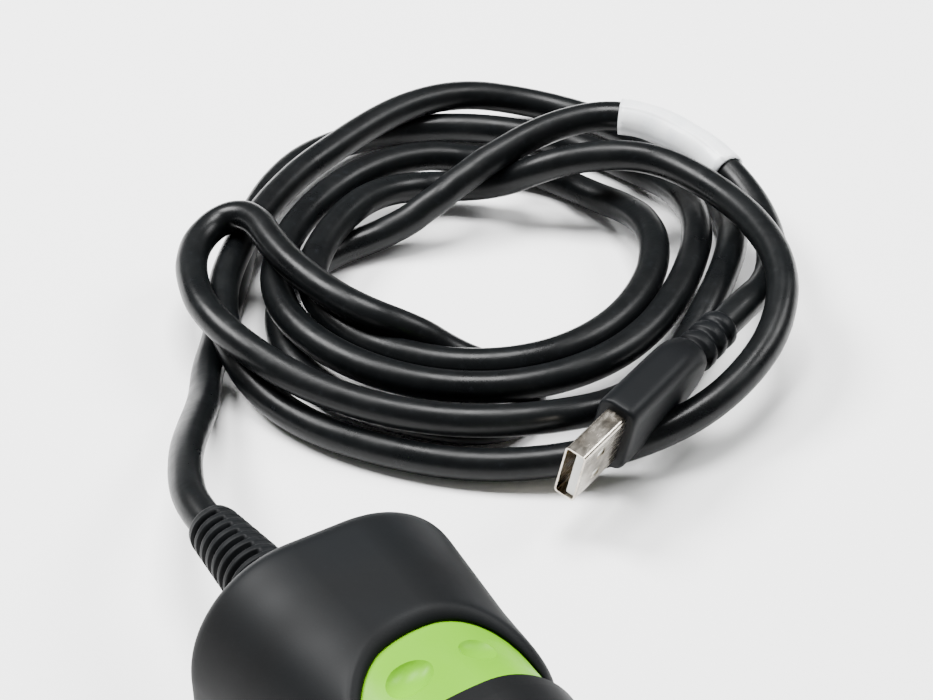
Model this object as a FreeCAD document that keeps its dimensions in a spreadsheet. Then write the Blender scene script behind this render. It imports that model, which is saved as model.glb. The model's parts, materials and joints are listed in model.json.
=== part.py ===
"""Handheld two-dimensional barcode scanner with its coiled lead, as separate pieces.

Every piece is drawn in the scanner's own frame: x points out of the nose, y to the left,
z up the handle, and z = 0 is the plane where the handle's foot stops being straight.
Head pieces are drawn level and then pitched with the head.  At the end the whole
scanner is laid on its right side, as it rests on a counter, and the lead's pieces are
laid beside it.  All lengths are in millimetres and all angles in degrees.
"""
import FreeCAD
import Part
import math
import os
import Sketcher
from FreeCAD import Placement, Rotation, Vector

doc = FreeCAD.newDocument("BarcodeScanner")
sheet = doc.addObject("Spreadsheet::Sheet", "Sizes")

SIZES = [
    # handle core, the rigid shell under the rubber
    ("heel_z", -3, "lower end of the rigid handle"),
    ("heel_depth", 44, "front to back at the heel"),
    ("heel_width", 44, "side to side at the heel"),
    ("flare_z", 22, "height where the foot's rubber is thinnest at the side"),
    ("flare_depth", 40, "front to back at the flare"),
    ("flare_width", 45, "side to side at the flare"),
    ("neck_z", 44, "height where the foot ends at front and back"),
    ("neck_depth", 38, "front to back at the neck"),
    ("neck_width", 42, "side to side at the neck"),
    ("palm_z", 64, "height of the palm"),
    ("palm_depth", 37, "front to back at the palm"),
    ("palm_width", 37, "side to side at the palm"),
    ("crown_z", 112, "upper end of the handle, inside the head"),
    ("crown_depth", 44, "front to back at the crown"),
    ("crown_width", 37, "side to side at the crown"),
    ("core_round", 0.38, "corner radius as a share of the section's narrower side"),
    ("wall", 2.5, "thickness of the rigid shell"),
    ("seam_half", 0.5, "half the thickness of the seal between the two shells"),
    # foot rubber
    ("foot_depth", 50, "front to back of the foot"),
    ("foot_width", 52, "side to side of the foot"),
    ("foot_round", 0.38, "corner radius as a share of the foot's narrower side"),
    ("dome_height", 7, "how far the foot's end is domed"),
    ("dome_depth", 32, "flat of the dome, front to back"),
    ("dome_width", 34, "flat of the dome, side to side"),
    ("lip", 2, "rubber standing proud of the coloured shell"),
    ("crescent_radius", 21, "radius of the foot rubber's upper edge on each side"),
    ("crescent_z", 45.7, "height of that edge's centre"),
    ("band_x", 3, "middle of the coloured band, in front of the handle's axis"),
    # grip rubber
    ("grip_wall", 1.5, "thickness of the grip rubber"),
    ("rubber_gap", 0.3, "clearance between one rubber piece and the next"),
    ("grip_start", 41, "height of the grip's lower edge at the side"),
    ("grip_edge_radius", 60, "radius of the grip's lower edge"),
    ("grip_top", 102, "height of the grip's upper edge"),
    # finger scoops in the coloured band
    ("scoop_length", 11, "length of a scoop"),
    ("scoop_width", 7, "width of a scoop"),
    ("scoop_depth", 1.5, "depth of a scoop"),
    ("scoop_spread", 7.2, "distance of a scoop from the middle"),
    ("scoop_z", 33.4, "height of a scoop"),
    # head
    ("head_height", 132, "height of the head's axis above the foot plane"),
    ("head_pitch", 10, "how far the nose points up"),
    ("head_back", 42, "shell behind the handle's axis"),
    ("head_front", 76, "shell in front of the handle's axis"),
    ("head_tall", 50, "height of the head's shell"),
    ("head_wide", 59, "width of the head's shell"),
    ("head_corner", 17, "corner radius of the head's shell"),
    ("head_taper", 14, "length over which the head narrows towards its rear"),
    ("head_narrow", 8, "how much narrower and lower the head's rear end is"),
    ("bumper_wide", 72, "width over the bumpers"),
    ("nose_tall", 66, "height of the nose bumper"),
    ("tail_tall", 60, "height of the rear bumper"),
    ("bumper_corner", 20, "corner radius of the bumpers"),
    ("bumper_bevel", 5, "chamfer of the bumpers' ends"),
    ("nose_length", 34, "length of the nose bumper"),
    ("nose_cap", 6, "rubber in front of the shell"),
    ("tail_length", 36, "length of the rear bumper"),
    # window
    ("view_wide", 50, "width of the scanning opening"),
    ("view_tall", 34, "height of the scanning opening"),
    ("view_corner", 6, "corner radius of the scanning opening"),
    ("pane_margin", 3, "window held beyond the opening"),
    ("pane_thick", 2, "thickness of the window"),
    ("pane_gap", 0.1, "clearance round the window"),
    ("light_depth", 20, "depth of the scanning opening in the shell"),
    ("gasket", 1, "thickness of the window seal"),
    # status light
    ("pipe_start", 13, "lower end of the light pipe above the head's axis"),
    ("pipe_long", 16, "length of the light pipe along the head"),
    ("pipe_wide", 5, "width of the light pipe"),
    ("pipe_proud", 0.8, "light pipe standing out of the shell"),
    ("pipe_gap", 0.2, "clearance round the light pipe"),
    # trigger
    ("pivot_x", 14, "trigger pivot in front of the handle's axis"),
    ("pivot_z", 103, "height of the trigger pivot"),
    ("eye_radius", 4, "radius of the trigger's eye"),
    ("pin_radius", 1.5, "radius of the trigger pin"),
    ("pin_length", 26, "length of the trigger pin"),
    ("trigger_width", 18, "width of the trigger"),
    ("trigger_drop", 36, "length of the trigger below its pivot"),
    ("trigger_out", 30, "how far the trigger stands in front of the handle's axis"),
    ("trigger_gap", 0.4, "clearance at each side of the trigger"),
    ("press_arm", 8, "distance from the pivot to the switch's plunger"),
    # inside
    ("board_thick", 1.6, "thickness of the circuit boards"),
    ("board_x", -2, "rear face of the handle board"),
    ("board_wide", 22, "width of the handle board"),
    ("screw_radius", 1.5, "radius of a screw's shank"),
    ("screw_head", 2.75, "radius of a screw's head"),
    ("screw_gap", 0.2, "clearance round a screw's head"),
    ("cap_thick", 2.2, "thickness of a screw's head"),
    ("drive_long", 3.2, "length of the slot in a screw's head"),
    ("drive_wide", 0.8, "width of that slot"),
    ("drive_deep", 1, "depth of that slot"),
    ("boss_radius", 3.5, "radius of a screw boss"),
    ("screw_reach", 11, "half length of a screw's shank"),
    # lead
    ("cord_dia", 6.6, "diameter of the lead"),
    ("boot_base", 7, "radius of the strain relief where it leaves the foot"),
    ("boot_tip", 4.6, "radius of the strain relief's tip"),
    ("boot_length", 44, "strain relief beyond the foot plane"),
    ("slot_pitch", 2.6, "spacing of the strain relief's slots"),
    ("slot_wide", 1.5, "width of a slot"),
    ("slot_depth", 2.2, "depth of a slot"),
    ("slot_count", 9, "slots on each side"),
    ("port_gap", 0.1, "clearance between the strain relief and its port"),
    ("seal_reach", 0.6, "how far the port's seal reaches into the foot"),
    ("seal_thick", 1.2, "thickness of the port's seal"),
    ("seal_drop", 2, "middle of the port's seal below the rigid handle"),
    ("coil_outer", 70, "outer radius of the coil"),
    ("coil_inner", 31, "inner radius of the coil"),
    ("coil_height", 26, "height of the coil"),
    # plug
    ("shell_long", 14, "plug shell in the open"),
    ("shell_hidden", 4, "plug shell inside its cover"),
    ("shell_wide", 12, "width of the plug shell"),
    ("shell_thick", 4.5, "thickness of the plug shell"),
    ("shell_sheet", 0.35, "thickness of the shell's sheet"),
    ("cover_long", 29, "length of the plug's cover"),
    ("cover_wide", 16, "width of the plug's cover"),
    ("cover_thick", 8.6, "thickness of the plug's cover"),
    ("relief_long", 12, "length of the plug's strain relief"),
    ("relief_radius", 4.3, "radius of the plug's strain relief"),
    ("plug_lift", 6.6, "height of the lead that the plug lies on"),
    ("plug_roll", 12, "how far the plug leans over"),
    ("plug_turn", 23, "direction of the plug on the counter"),
]


class Size:
    """A value of the sheet, or a formula of such values, with the expression that gives it."""

    def __init__(self, text, value):
        self.text = text
        self.value = float(value)

    def __add__(self, other):
        other = as_size(other)
        return Size("(%s + %s)" % (self.text, other.text), self.value + other.value)

    def __sub__(self, other):
        other = as_size(other)
        return Size("(%s - %s)" % (self.text, other.text), self.value - other.value)

    def __mul__(self, other):
        other = as_size(other)
        return Size("(%s * %s)" % (self.text, other.text), self.value * other.value)

    def __truediv__(self, other):
        other = as_size(other)
        return Size("(%s / %s)" % (self.text, other.text), self.value / other.value)

    def __neg__(self):
        return Size("(-1 * %s)" % self.text, -self.value)

    __radd__ = __add__

    def __rsub__(self, other):
        return as_size(other) - self


def as_size(number):
    """Wrap a plain number, so that it can stand in a formula."""
    if isinstance(number, Size):
        return number
    return Size("(%s)" % repr(float(number)), number)


def narrower(first, second):
    """The smaller of two sizes."""
    return Size("min(%s; %s)" % (first.text, second.text), min(first.value, second.value))


class Cells:
    """The sheet's cells by name."""

    def __init__(self, rows):
        for line, (name, value, meaning) in enumerate(rows, start=1):
            sheet.set("A%d" % line, name)
            sheet.set("B%d" % line, str(value))
            sheet.set("C%d" % line, meaning)
            sheet.setAlias("B%d" % line, name)
            setattr(self, name, Size("Sizes.%s" % name, value))


c = Cells(SIZES)
doc.recompute()


# ---------------------------------------------------------------- helpers

def bind(thing, prop, size):
    """Tie a property of an object to its formula."""
    thing.setExpression(prop, as_size(size).text)


def box(name, along_x, along_y, along_z):
    """A box between two values on each axis."""
    solid = doc.addObject("Part::Box", name)
    for edge, letter, span in (("Length", "x", along_x), ("Width", "y", along_y),
                               ("Height", "z", along_z)):
        low, high = as_size(span[0]), as_size(span[1])
        bind(solid, edge, high - low)
        bind(solid, "Placement.Base." + letter, low)
    return solid


AXES = {
    "x": Rotation(Vector(0, 1, 0), 90),
    "y": Rotation(Vector(1, 0, 0), -90),
    "z": Rotation(),
}


def cylinder(name, radius, span, centre, axis="z"):
    """A cylinder along an axis, between the two values of span on that axis."""
    solid = doc.addObject("Part::Cylinder", name)
    bind(solid, "Radius", radius)
    bind(solid, "Height", as_size(span[1]) - as_size(span[0]))
    solid.Placement = Placement(Vector(), AXES[axis])
    others = [letter for letter in "xyz" if letter != axis]
    bind(solid, "Placement.Base." + axis, span[0])
    for letter, value in zip(others, centre):
        bind(solid, "Placement.Base." + letter, value)
    return solid


def cut(name, base, tool):
    """The base without the tool."""
    result = doc.addObject("Part::Cut", name)
    result.Base = base
    result.Tool = tool
    return result


def fuse(name, solids):
    """Several solids as one."""
    result = doc.addObject("Part::MultiFuse", name)
    result.Shapes = solids
    return result


def common(name, solids):
    """What two solids share."""
    result = doc.addObject("Part::Common", name)
    result.Base, result.Tool = solids
    return result


def group(name, solids):
    """Separate solids kept together."""
    result = doc.addObject("Part::Compound", name)
    result.Links = solids
    return result


def rounded_rectangle(sketch, wide, tall, corner):
    """Draw a rounded rectangle about the sketch's origin, tied to its three sizes."""
    wide, tall, corner = as_size(wide), as_size(tall), as_size(corner)
    a, b, r = wide.value / 2, tall.value / 2, corner.value
    ends = [Vector(-a + r, -b), Vector(a - r, -b), Vector(a, -b + r), Vector(a, b - r),
            Vector(a - r, b), Vector(-a + r, b), Vector(-a, b - r), Vector(-a, -b + r)]
    middles = [Vector(a - r, -b + r), Vector(a - r, b - r), Vector(-a + r, b - r),
               Vector(-a + r, -b + r)]
    for side in range(4):
        sketch.addGeometry(Part.LineSegment(ends[2 * side], ends[2 * side + 1]))
    for turn in range(4):
        start = math.radians(270 + 90 * turn)
        circle = Part.Circle(middles[turn], Vector(0, 0, 1), r)
        sketch.addGeometry(Part.ArcOfCircle(circle, start, start + math.pi / 2))
    rules = []
    for side in range(4):
        rules.append(Sketcher.Constraint("Tangent", side, 2, 4 + side, 1))
        rules.append(Sketcher.Constraint("Tangent", 4 + side, 2, (side + 1) % 4, 1))
    rules += [Sketcher.Constraint("Horizontal", 0), Sketcher.Constraint("Vertical", 1)]
    rules += [Sketcher.Constraint("Horizontal", 2), Sketcher.Constraint("Vertical", 3)]
    rules += [Sketcher.Constraint("Equal", 4, other) for other in (5, 6)]
    rules.append(Sketcher.Constraint("Symmetric", 4, 3, 6, 3, -1, 1))
    sketch.addConstraint(rules)
    sizes = (
        (Sketcher.Constraint("Radius", 4, r), corner),
        (Sketcher.Constraint("DistanceX", 3, 1, 1, 1, 2 * a), wide),
        (Sketcher.Constraint("DistanceY", 0, 1, 2, 1, 2 * b), tall),
    )
    for rule, size in sizes:
        number = sketch.addConstraint(rule)
        sketch.setExpression("Constraints[%d]" % number, size.text)
    return sketch


def polygon(sketch, corners):
    """Draw a closed outline whose corners are each tied to two formulas."""
    points = [Vector(as_size(x).value, as_size(y).value) for x, y in corners]
    count = len(points)
    for line in range(count):
        sketch.addGeometry(Part.LineSegment(points[line], points[(line + 1) % count]))
    for line in range(count):
        sketch.addConstraint(Sketcher.Constraint("Coincident", line, 2, (line + 1) % count, 1))
    for line, (x, y) in enumerate(corners):
        for kind, size in (("DistanceX", as_size(x)), ("DistanceY", as_size(y))):
            rule = Sketcher.Constraint(kind, -1, 1, line, 1, size.value)
            number = sketch.addConstraint(rule)
            sketch.setExpression("Constraints[%d]" % number, size.text)
    return sketch


def circle(sketch, radius, x=0, y=0):
    """Draw a circle tied to its radius and centre."""
    radius, x, y = as_size(radius), as_size(x), as_size(y)
    sketch.addGeometry(Part.Circle(Vector(x.value, y.value), Vector(0, 0, 1), radius.value))
    rules = (
        (Sketcher.Constraint("Radius", 0, radius.value), radius),
        (Sketcher.Constraint("DistanceX", -1, 1, 0, 3, x.value), x),
        (Sketcher.Constraint("DistanceY", -1, 1, 0, 3, y.value), y),
    )
    for rule, size in rules:
        number = sketch.addConstraint(rule)
        sketch.setExpression("Constraints[%d]" % number, size.text)
    return sketch


SECTION_TURN = {
    "z": Rotation(),
    "x": Rotation(Vector(0, 1, 0), Vector(0, 0, 1), Vector(1, 0, 0), "ZXY"),
}


def section(name, axis, place, wide, tall, corner):
    """A rounded rectangle across an axis, at a place along it."""
    sketch = doc.addObject("Sketcher::SketchObject", name)
    rounded_rectangle(sketch, wide, tall, corner)
    sketch.Placement = Placement(Vector(), SECTION_TURN[axis])
    bind(sketch, "Placement.Base." + axis, place)
    return sketch


def loft(name, axis, stations):
    """A solid through rounded rectangles: (place, wide, tall, corner) for each."""
    result = doc.addObject("Part::Loft", name)
    result.Sections = [section("%s_%d" % (name, i), axis, *station)
                       for i, station in enumerate(stations)]
    result.Solid = True
    result.Ruled = True
    return result


def prism(name, axis, span, wide, tall, corner):
    """A rounded bar along an axis."""
    return loft(name, axis, [(span[0], wide, tall, corner), (span[1], wide, tall, corner)])


def body(name):
    """A new PartDesign body."""
    return doc.addObject("PartDesign::Body", name)


def body_sketch(owner, name, plane):
    """A sketch on one of the body's own origin planes."""
    sketch = owner.newObject("Sketcher::SketchObject", name)
    flat = [f for f in owner.Origin.OriginFeatures if f.Role == plane][0]
    sketch.AttachmentSupport = [(flat, "")]
    sketch.MapMode = "FlatFace"
    return sketch


def pad(owner, name, sketch, length, both_ways=False):
    """Thicken a sketch."""
    feature = owner.newObject("PartDesign::Pad", name)
    feature.Profile = sketch
    bind(feature, "Length", length)
    if both_ways:
        feature.SideType = "Symmetric"
    sketch.Visibility = False
    return feature


def pitched(thing):
    """Turn an object with the head: nose up, and raised to the head's axis."""
    thing.Placement = Placement(Vector(), Rotation(Vector(0, -1, 0), c.head_pitch.value))
    bind(thing, "Placement.Rotation.Angle", c.head_pitch)
    bind(thing, "Placement.Base.z", c.head_height)
    return thing


PIECES = {}


def piece(label, thing, frame="handle"):
    """Name a finished piece and the frame that it was drawn in."""
    if thing.ExpressionEngine and any("Placement" in prop for prop, _ in thing.ExpressionEngine):
        thing = group(label + "_held", [thing])
    thing.Label = label
    PIECES[label] = (thing, frame)
    return thing


# ---------------------------------------------------------------- handle and head shells

def handle_stations(grow=0, first=None, last=None):
    """The handle's sections, grown outwards by a wall; first and last move its ends."""
    rows = [
        (c.heel_z, c.heel_depth, c.heel_width),
        (c.flare_z, c.flare_depth, c.flare_width),
        (c.neck_z, c.neck_depth, c.neck_width),
        (c.palm_z, c.palm_depth, c.palm_width),
        (c.crown_z, c.crown_depth, c.crown_width),
    ]
    grow = as_size(grow)
    stations = [(z, d + grow * 2, w + grow * 2, narrower(d, w) * c.core_round + grow)
                for z, d, w in rows]
    if first is not None:
        stations[0] = (first,) + stations[0][1:]
    if last is not None:
        stations[-1] = (last,) + stations[-1][1:]
    return stations


def head_stations(grow=0, trim=0):
    """The head's sections, with a narrower rear end."""
    grow, trim = as_size(grow), as_size(trim)
    wide, tall = c.head_wide + grow * 2, c.head_tall + grow * 2
    corner = c.head_corner + grow
    return [
        (-c.head_back + trim, wide - c.head_narrow, tall - c.head_narrow, corner - 2),
        (-c.head_back + trim + c.head_taper, wide, tall, corner),
        (c.head_front - trim * 1.6, wide, tall, corner),
    ]


# farther out than any side of the scanner, for tools that cut or reach right through it
OUTSIDE = 60

BOSSES = {
    "handle_low": (-12, 52),
    "handle_high": (-13, 86),
}
HEAD_BOSSES = {
    "head_rear": (-30, -12),
    "head_nose": (38, -16),
}


def bosses(name, places):
    """Posts across the shell that the screws run in."""
    return [cylinder("%s_%s" % (name, key), c.boss_radius, (-OUTSIDE, OUTSIDE), place, "y")
            for key, place in places.items()]


def screw_holes(name, places):
    """Holes for the shanks and, from the right side, for the heads."""
    holes = []
    for key, place in places.items():
        holes.append(cylinder("%s_shank_%s" % (name, key), c.screw_radius,
                              (-c.screw_reach, c.screw_reach), place, "y"))
        holes.append(cylinder("%s_head_%s" % (name, key), c.screw_head + c.screw_gap,
                              (-OUTSIDE, -c.screw_reach), place, "y"))
    return holes


def screws(name, places):
    """Pan-head screws that clamp the two shells."""
    made = []
    for key, place in places.items():
        shank = cylinder("%s_rod_%s" % (name, key), c.screw_radius,
                         (-c.screw_reach, c.screw_reach), place, "y")
        cap = cylinder("%s_cap_%s" % (name, key), c.screw_head,
                       (-c.screw_reach - c.cap_thick, -c.screw_reach), place, "y")
        face = -c.screw_reach - c.cap_thick
        half_long, half_wide = c.drive_long / 2, c.drive_wide / 2
        socket = box("%s_drive_%s" % (name, key), (place[0] - half_long, place[0] + half_long),
                     (face - 1, face + c.drive_deep),
                     (place[1] - half_wide, place[1] + half_wide))
        made.append(cut("%s_%s" % (name, key),
                        fuse("%s_blank_%s" % (name, key), [shank, cap]), socket))
    return group(name, made)


def slot_outline(name, extra=0):
    """The slot in the front of the handle that the trigger moves in."""
    half = c.trigger_width / 2 + c.trigger_gap + extra
    return box(name, (3, 45), (-half, half),
               (c.pivot_z - c.trigger_drop - 3, c.pivot_z + c.eye_radius + 2))


SCOOP_SLANT = 20


def port_tool(name):
    """The round port in the foot that the strain relief sits in."""
    span = (-c.dome_height * 2, c.heel_z + c.wall * 2)
    return cylinder(name, c.boot_base + c.port_gap, span, (0, 0), "z")


def scoops():
    """Pairs of slanted oval scoops in the coloured band of each side."""
    made = []
    for side in (1, -1):
        for way in (1, -1):
            name = "scoop_%s_%s" % ("left" if side > 0 else "right", "fore" if way > 0 else "aft")
            hollow = doc.addObject("Part::Ellipsoid", name)
            bind(hollow, "Radius1", c.scoop_depth * 2)
            bind(hollow, "Radius2", c.scoop_length / 2)
            bind(hollow, "Radius3", c.scoop_width / 2)
            upright = Rotation(Vector(1, 0, 0), 90)
            slant = Rotation(Vector(0, -1, 0), SCOOP_SLANT * way)
            hollow.Placement = Placement(Vector(), slant.multiply(upright))
            surface = (c.flare_width / 2
                       + (c.neck_width - c.flare_width) / 2
                       * ((c.scoop_z.value - c.flare_z.value)
                          / (c.neck_z.value - c.flare_z.value)))
            bind(hollow, "Placement.Base.x", c.band_x + c.scoop_spread * way)
            bind(hollow, "Placement.Base.y", (surface + c.scoop_depth) * side)
            bind(hollow, "Placement.Base.z", c.scoop_z)
            made.append(hollow)
    return made


def shells():
    """The coloured left and right shells, and the soft seal between them."""
    handle_core = loft("handle_core", "z", handle_stations())
    head_core = pitched(loft("head_core", "x", head_stations()))
    outside = fuse("shell_outside", [handle_core, head_core])

    inner_end = c.heel_z + c.wall
    handle_room = loft("handle_room", "z", handle_stations(-c.wall, first=inner_end))
    head_room = pitched(loft("head_room", "x", head_stations(-c.wall, c.wall)))
    inside = fuse("shell_inside", [handle_room, head_room])

    head_posts = pitched(group("head_posts", bosses("head_post", HEAD_BOSSES)))
    post_reach = c.pin_length / 2 + c.wall
    pivot_post = cylinder("pivot_post", c.eye_radius + 1.5, (-post_reach, post_reach),
                          (c.pivot_x, c.pivot_z), "y")
    posts = fuse("posts", bosses("handle_post", BOSSES) + [pivot_post, head_posts])
    posts_in_shell = common("posts_in_shell", [outside, posts])
    skin = cut("shell_skin", outside, inside)
    solid = fuse("shell_solid", [skin, posts_in_shell])

    reach = c.head_front + 1
    light_path = prism("light_path", "x", (c.head_front - c.light_depth, reach),
                       c.view_wide, c.view_tall, c.view_corner)
    pane_seat = prism("pane_seat", "x", (c.head_front - c.pane_thick, reach),
                      c.view_wide + (c.pane_margin + c.pane_gap) * 2,
                      c.view_tall + (c.pane_margin + c.pane_gap) * 2,
                      c.view_corner + c.pane_margin)
    lamp_hole = prism("lamp_hole", "z", (10, c.head_tall), c.pipe_long + c.pipe_gap * 2,
                      c.pipe_wide + c.pipe_gap * 2, c.pipe_wide / 2)
    head_holes = pitched(fuse("head_holes", [light_path, pane_seat, lamp_hole]
                              + screw_holes("head_hole", HEAD_BOSSES)))
    port = port_tool("port")
    pin_hole = cylinder("pin_hole", c.pin_radius, (c.pin_length / -2, c.pin_length / 2),
                        (c.pivot_x, c.pivot_z), "y")
    holes = fuse("shell_holes", [head_holes, port, pin_hole, slot_outline("trigger_slot")]
                 + screw_holes("handle_hole", BOSSES) + scoops())
    shell = cut("shell", solid, holes)

    far = 200
    seam = c.seam_half
    left = common("left_half", [shell, box("left_room", (-far, far), (seam, far), (-far, far))])
    right = common("right_half", [shell, box("right_room", (-far, far), (-far, -seam),
                                             (-far, far))])
    strip = common("seam_strip", [cut("seam_skin", skin, holes),
                                  box("seam_room", (-far, far), (-seam, seam), (-far, far))])
    piece("left_housing", left)
    piece("right_housing", right)
    piece("parting_seal", strip)
    piece("handle_screws", screws("handle_screw", BOSSES))
    piece("head_screws", screws("head_screw", HEAD_BOSSES), "head")


# ---------------------------------------------------------------- rubber

def seal_ring(name):
    """The flat seal that sits in the foot, round the lead's strain relief."""
    middle = c.heel_z - c.seal_drop
    span = (middle - c.seal_thick / 2, middle + c.seal_thick / 2)
    return cylinder(name, c.boot_base + c.port_gap + c.seal_reach, span, (0, 0), "z")


# how far down the dome each section is, and how much of the foot's extra size it has there
DOME = [(1, 0), (0.86, 0.34), (0.58, 0.66), (0.28, 0.88), (0, 1)]


def foot():
    """The rubber boot of the foot, with a crescent edge on each side."""
    rows = []
    for drop, share in DOME:
        rows.append((-c.dome_height * drop,
                     c.dome_depth + (c.foot_depth - c.dome_depth) * share,
                     c.dome_width + (c.foot_width - c.dome_width) * share))
    rows.append((c.flare_z, c.flare_depth + c.lip * 2, c.flare_width + c.lip * 2))
    rows.append((c.neck_z, c.neck_depth + c.lip * 2, c.neck_width + c.lip * 2))
    outer = loft("foot_outer", "z", [(z, d, w, narrower(d, w) * c.foot_round)
                                     for z, d, w in rows])
    core = loft("foot_core", "z", handle_stations())
    bite = cylinder("crescent", c.crescent_radius, (-OUTSIDE, OUTSIDE),
                    (c.band_x, c.crescent_z), "y")
    port = port_tool("foot_port")
    groove = seal_ring("foot_groove")
    piece("foot_boot", cut("foot", outer, fuse("foot_tools", [core, bite, port, groove])))


def grip():
    """The rubber sleeve of the handle, open at the trigger."""
    outer = loft("grip_outer", "z", handle_stations(c.grip_wall))
    core = loft("grip_core", "z", handle_stations())
    middle = c.grip_start + c.grip_edge_radius
    below = box("grip_below", (-OUTSIDE, OUTSIDE), (-OUTSIDE, OUTSIDE), (-OUTSIDE, middle))
    round_edge = cylinder("grip_round", c.grip_edge_radius, (-OUTSIDE - 1, OUTSIDE + 1),
                          (c.band_x, middle), "y")
    above = box("grip_above", (-OUTSIDE, OUTSIDE), (-OUTSIDE, OUTSIDE),
                (c.grip_top, c.grip_top + OUTSIDE))
    head = pitched(loft("grip_head", "x", head_stations(c.rubber_gap)))
    tools = fuse("grip_tools", [core, cut("grip_edge", below, round_edge), above, head,
                                slot_outline("grip_slot", 0.6)])
    piece("grip_sleeve", cut("grip", outer, tools))


def nose():
    """The rubber bumper round the nose, with the scanning opening."""
    front = c.head_front + c.nose_cap
    back = front - c.nose_length
    bevel = c.bumper_bevel
    outer = loft("nose_outer", "x", [
        (back, c.bumper_wide - bevel, c.nose_tall - bevel, c.bumper_corner - 2),
        (back + bevel, c.bumper_wide, c.nose_tall, c.bumper_corner),
        (front - bevel, c.bumper_wide, c.nose_tall, c.bumper_corner),
        (front, c.bumper_wide - bevel * 1.6, c.nose_tall - bevel * 1.6, c.bumper_corner - 3),
    ])
    core = loft("nose_core", "x", head_stations())
    mouth = loft("nose_mouth", "x", [
        (c.head_front - 1, c.view_wide, c.view_tall, c.view_corner),
        (c.head_front + c.gasket, c.view_wide, c.view_tall, c.view_corner),
        (front + 0.5, c.view_wide + 4, c.view_tall + 4, c.view_corner + 2),
    ])
    seat = prism("nose_seat", "x", (c.head_front - 1, c.head_front + c.gasket),
                 c.view_wide + (c.pane_margin + c.pane_gap) * 2,
                 c.view_tall + (c.pane_margin + c.pane_gap) * 2, c.view_corner + c.pane_margin)
    piece("nose_bumper", cut("nose", outer, fuse("nose_tools", [core, mouth, seat])), "head")


def tail():
    """The rubber bumper round the back of the head."""
    back = -c.head_back - c.nose_cap
    bevel = c.bumper_bevel
    outer = pitched(loft("tail_outer", "x", [
        (back, c.bumper_wide - bevel * 2.4, c.tail_tall - bevel * 2.4, c.bumper_corner - 5),
        (back + bevel * 1.2, c.bumper_wide, c.tail_tall, c.bumper_corner),
        (back + c.tail_length - bevel, c.bumper_wide, c.tail_tall, c.bumper_corner),
        (back + c.tail_length, c.bumper_wide - bevel, c.tail_tall - bevel, c.bumper_corner - 2),
    ]))
    core = pitched(loft("tail_core", "x", head_stations()))
    handle = loft("tail_handle", "z", handle_stations(c.grip_wall + c.rubber_gap))
    piece("rear_bumper", cut("tail", outer, fuse("tail_tools", [core, handle])))


# ---------------------------------------------------------------- window and engine

def window():
    """The scanning window and its seal."""
    wide = c.view_wide + c.pane_margin * 2
    tall = c.view_tall + c.pane_margin * 2
    pane = prism("pane", "x", (c.head_front - c.pane_thick, c.head_front),
                 wide, tall, c.view_corner + c.pane_margin)
    piece("exit_window", pane, "head")
    ring = prism("seal_outer", "x", (c.head_front, c.head_front + c.gasket),
                 wide, tall, c.view_corner + c.pane_margin)
    hole = prism("seal_inner", "x", (c.head_front - 1, c.head_front + c.gasket + 1),
                 c.view_wide, c.view_tall, c.view_corner)
    piece("window_seal", cut("seal", ring, hole), "head")


ENGINE_X = (44, 66)
LENS_Y = 5
LIGHT_Y = -7


def engine():
    """The imaging engine: chassis, lens, sensor, lights and aimer."""
    rear, front = ENGINE_X
    block = box("engine_block", (rear, front), (-14, 14), (-8, 6))
    bore = cylinder("engine_bore", 5.1, (rear + 3, front + 1), (LENS_Y, -1), "x")
    sensor_seat = box("engine_seat", (rear - 1, rear + 3), (LENS_Y - 4.1, LENS_Y + 4.1),
                      (-5.1, 3.1))
    light_seat = box("engine_lights", (front - 4, front + 1), (LIGHT_Y - 4.1, LIGHT_Y + 4.1),
                     (-7, 1.2))
    aim_bore = cylinder("engine_aim", 1.6, (rear + 6, front + 1), (LIGHT_Y, 3.6), "x")
    feet = [box("engine_foot_%s" % side, (rear + 2, front - 4), (y - 2, y + 2), (6, 8))
            for side, y in (("left", 11), ("right", -11))]
    blank = fuse("engine_blank", [block] + feet)
    piece("engine_chassis", cut("engine", blank, fuse(
        "engine_tools", [bore, sensor_seat, light_seat, aim_bore])), "head")

    tube = cylinder("barrel_tube", 5, (rear + 4, front + 1.5), (LENS_Y, -1), "x")
    hollow = cylinder("barrel_hollow", 3.6, (rear + 3, front + 2), (LENS_Y, -1), "x")
    piece("lens_barrel", cut("barrel", tube, hollow), "head")
    lens = cylinder("lens_disc", 3.5, (front - 3.4, front - 1.0), (LENS_Y, -1), "x")
    piece("camera_lens", lens, "head")
    sensor = box("sensor_chip", (rear + 0.6, rear + 2.4), (LENS_Y - 4, LENS_Y + 4), (-5, 3))
    piece("image_sensor", sensor, "head")
    lights = [box("light_%d" % i, (front - 3.6, front - 2), (LIGHT_Y + y - 1.6, LIGHT_Y + y + 1.6),
                  (-4.6, -1.2)) for i, y in enumerate((-2.1, 2.1))]
    piece("illumination_leds", group("lights", lights), "head")
    aimer = cylinder("aim_rod", 1.5, (rear + 8, front + 0.6), (LIGHT_Y, 3.6), "x")
    piece("aiming_lens", aimer, "head")


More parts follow.
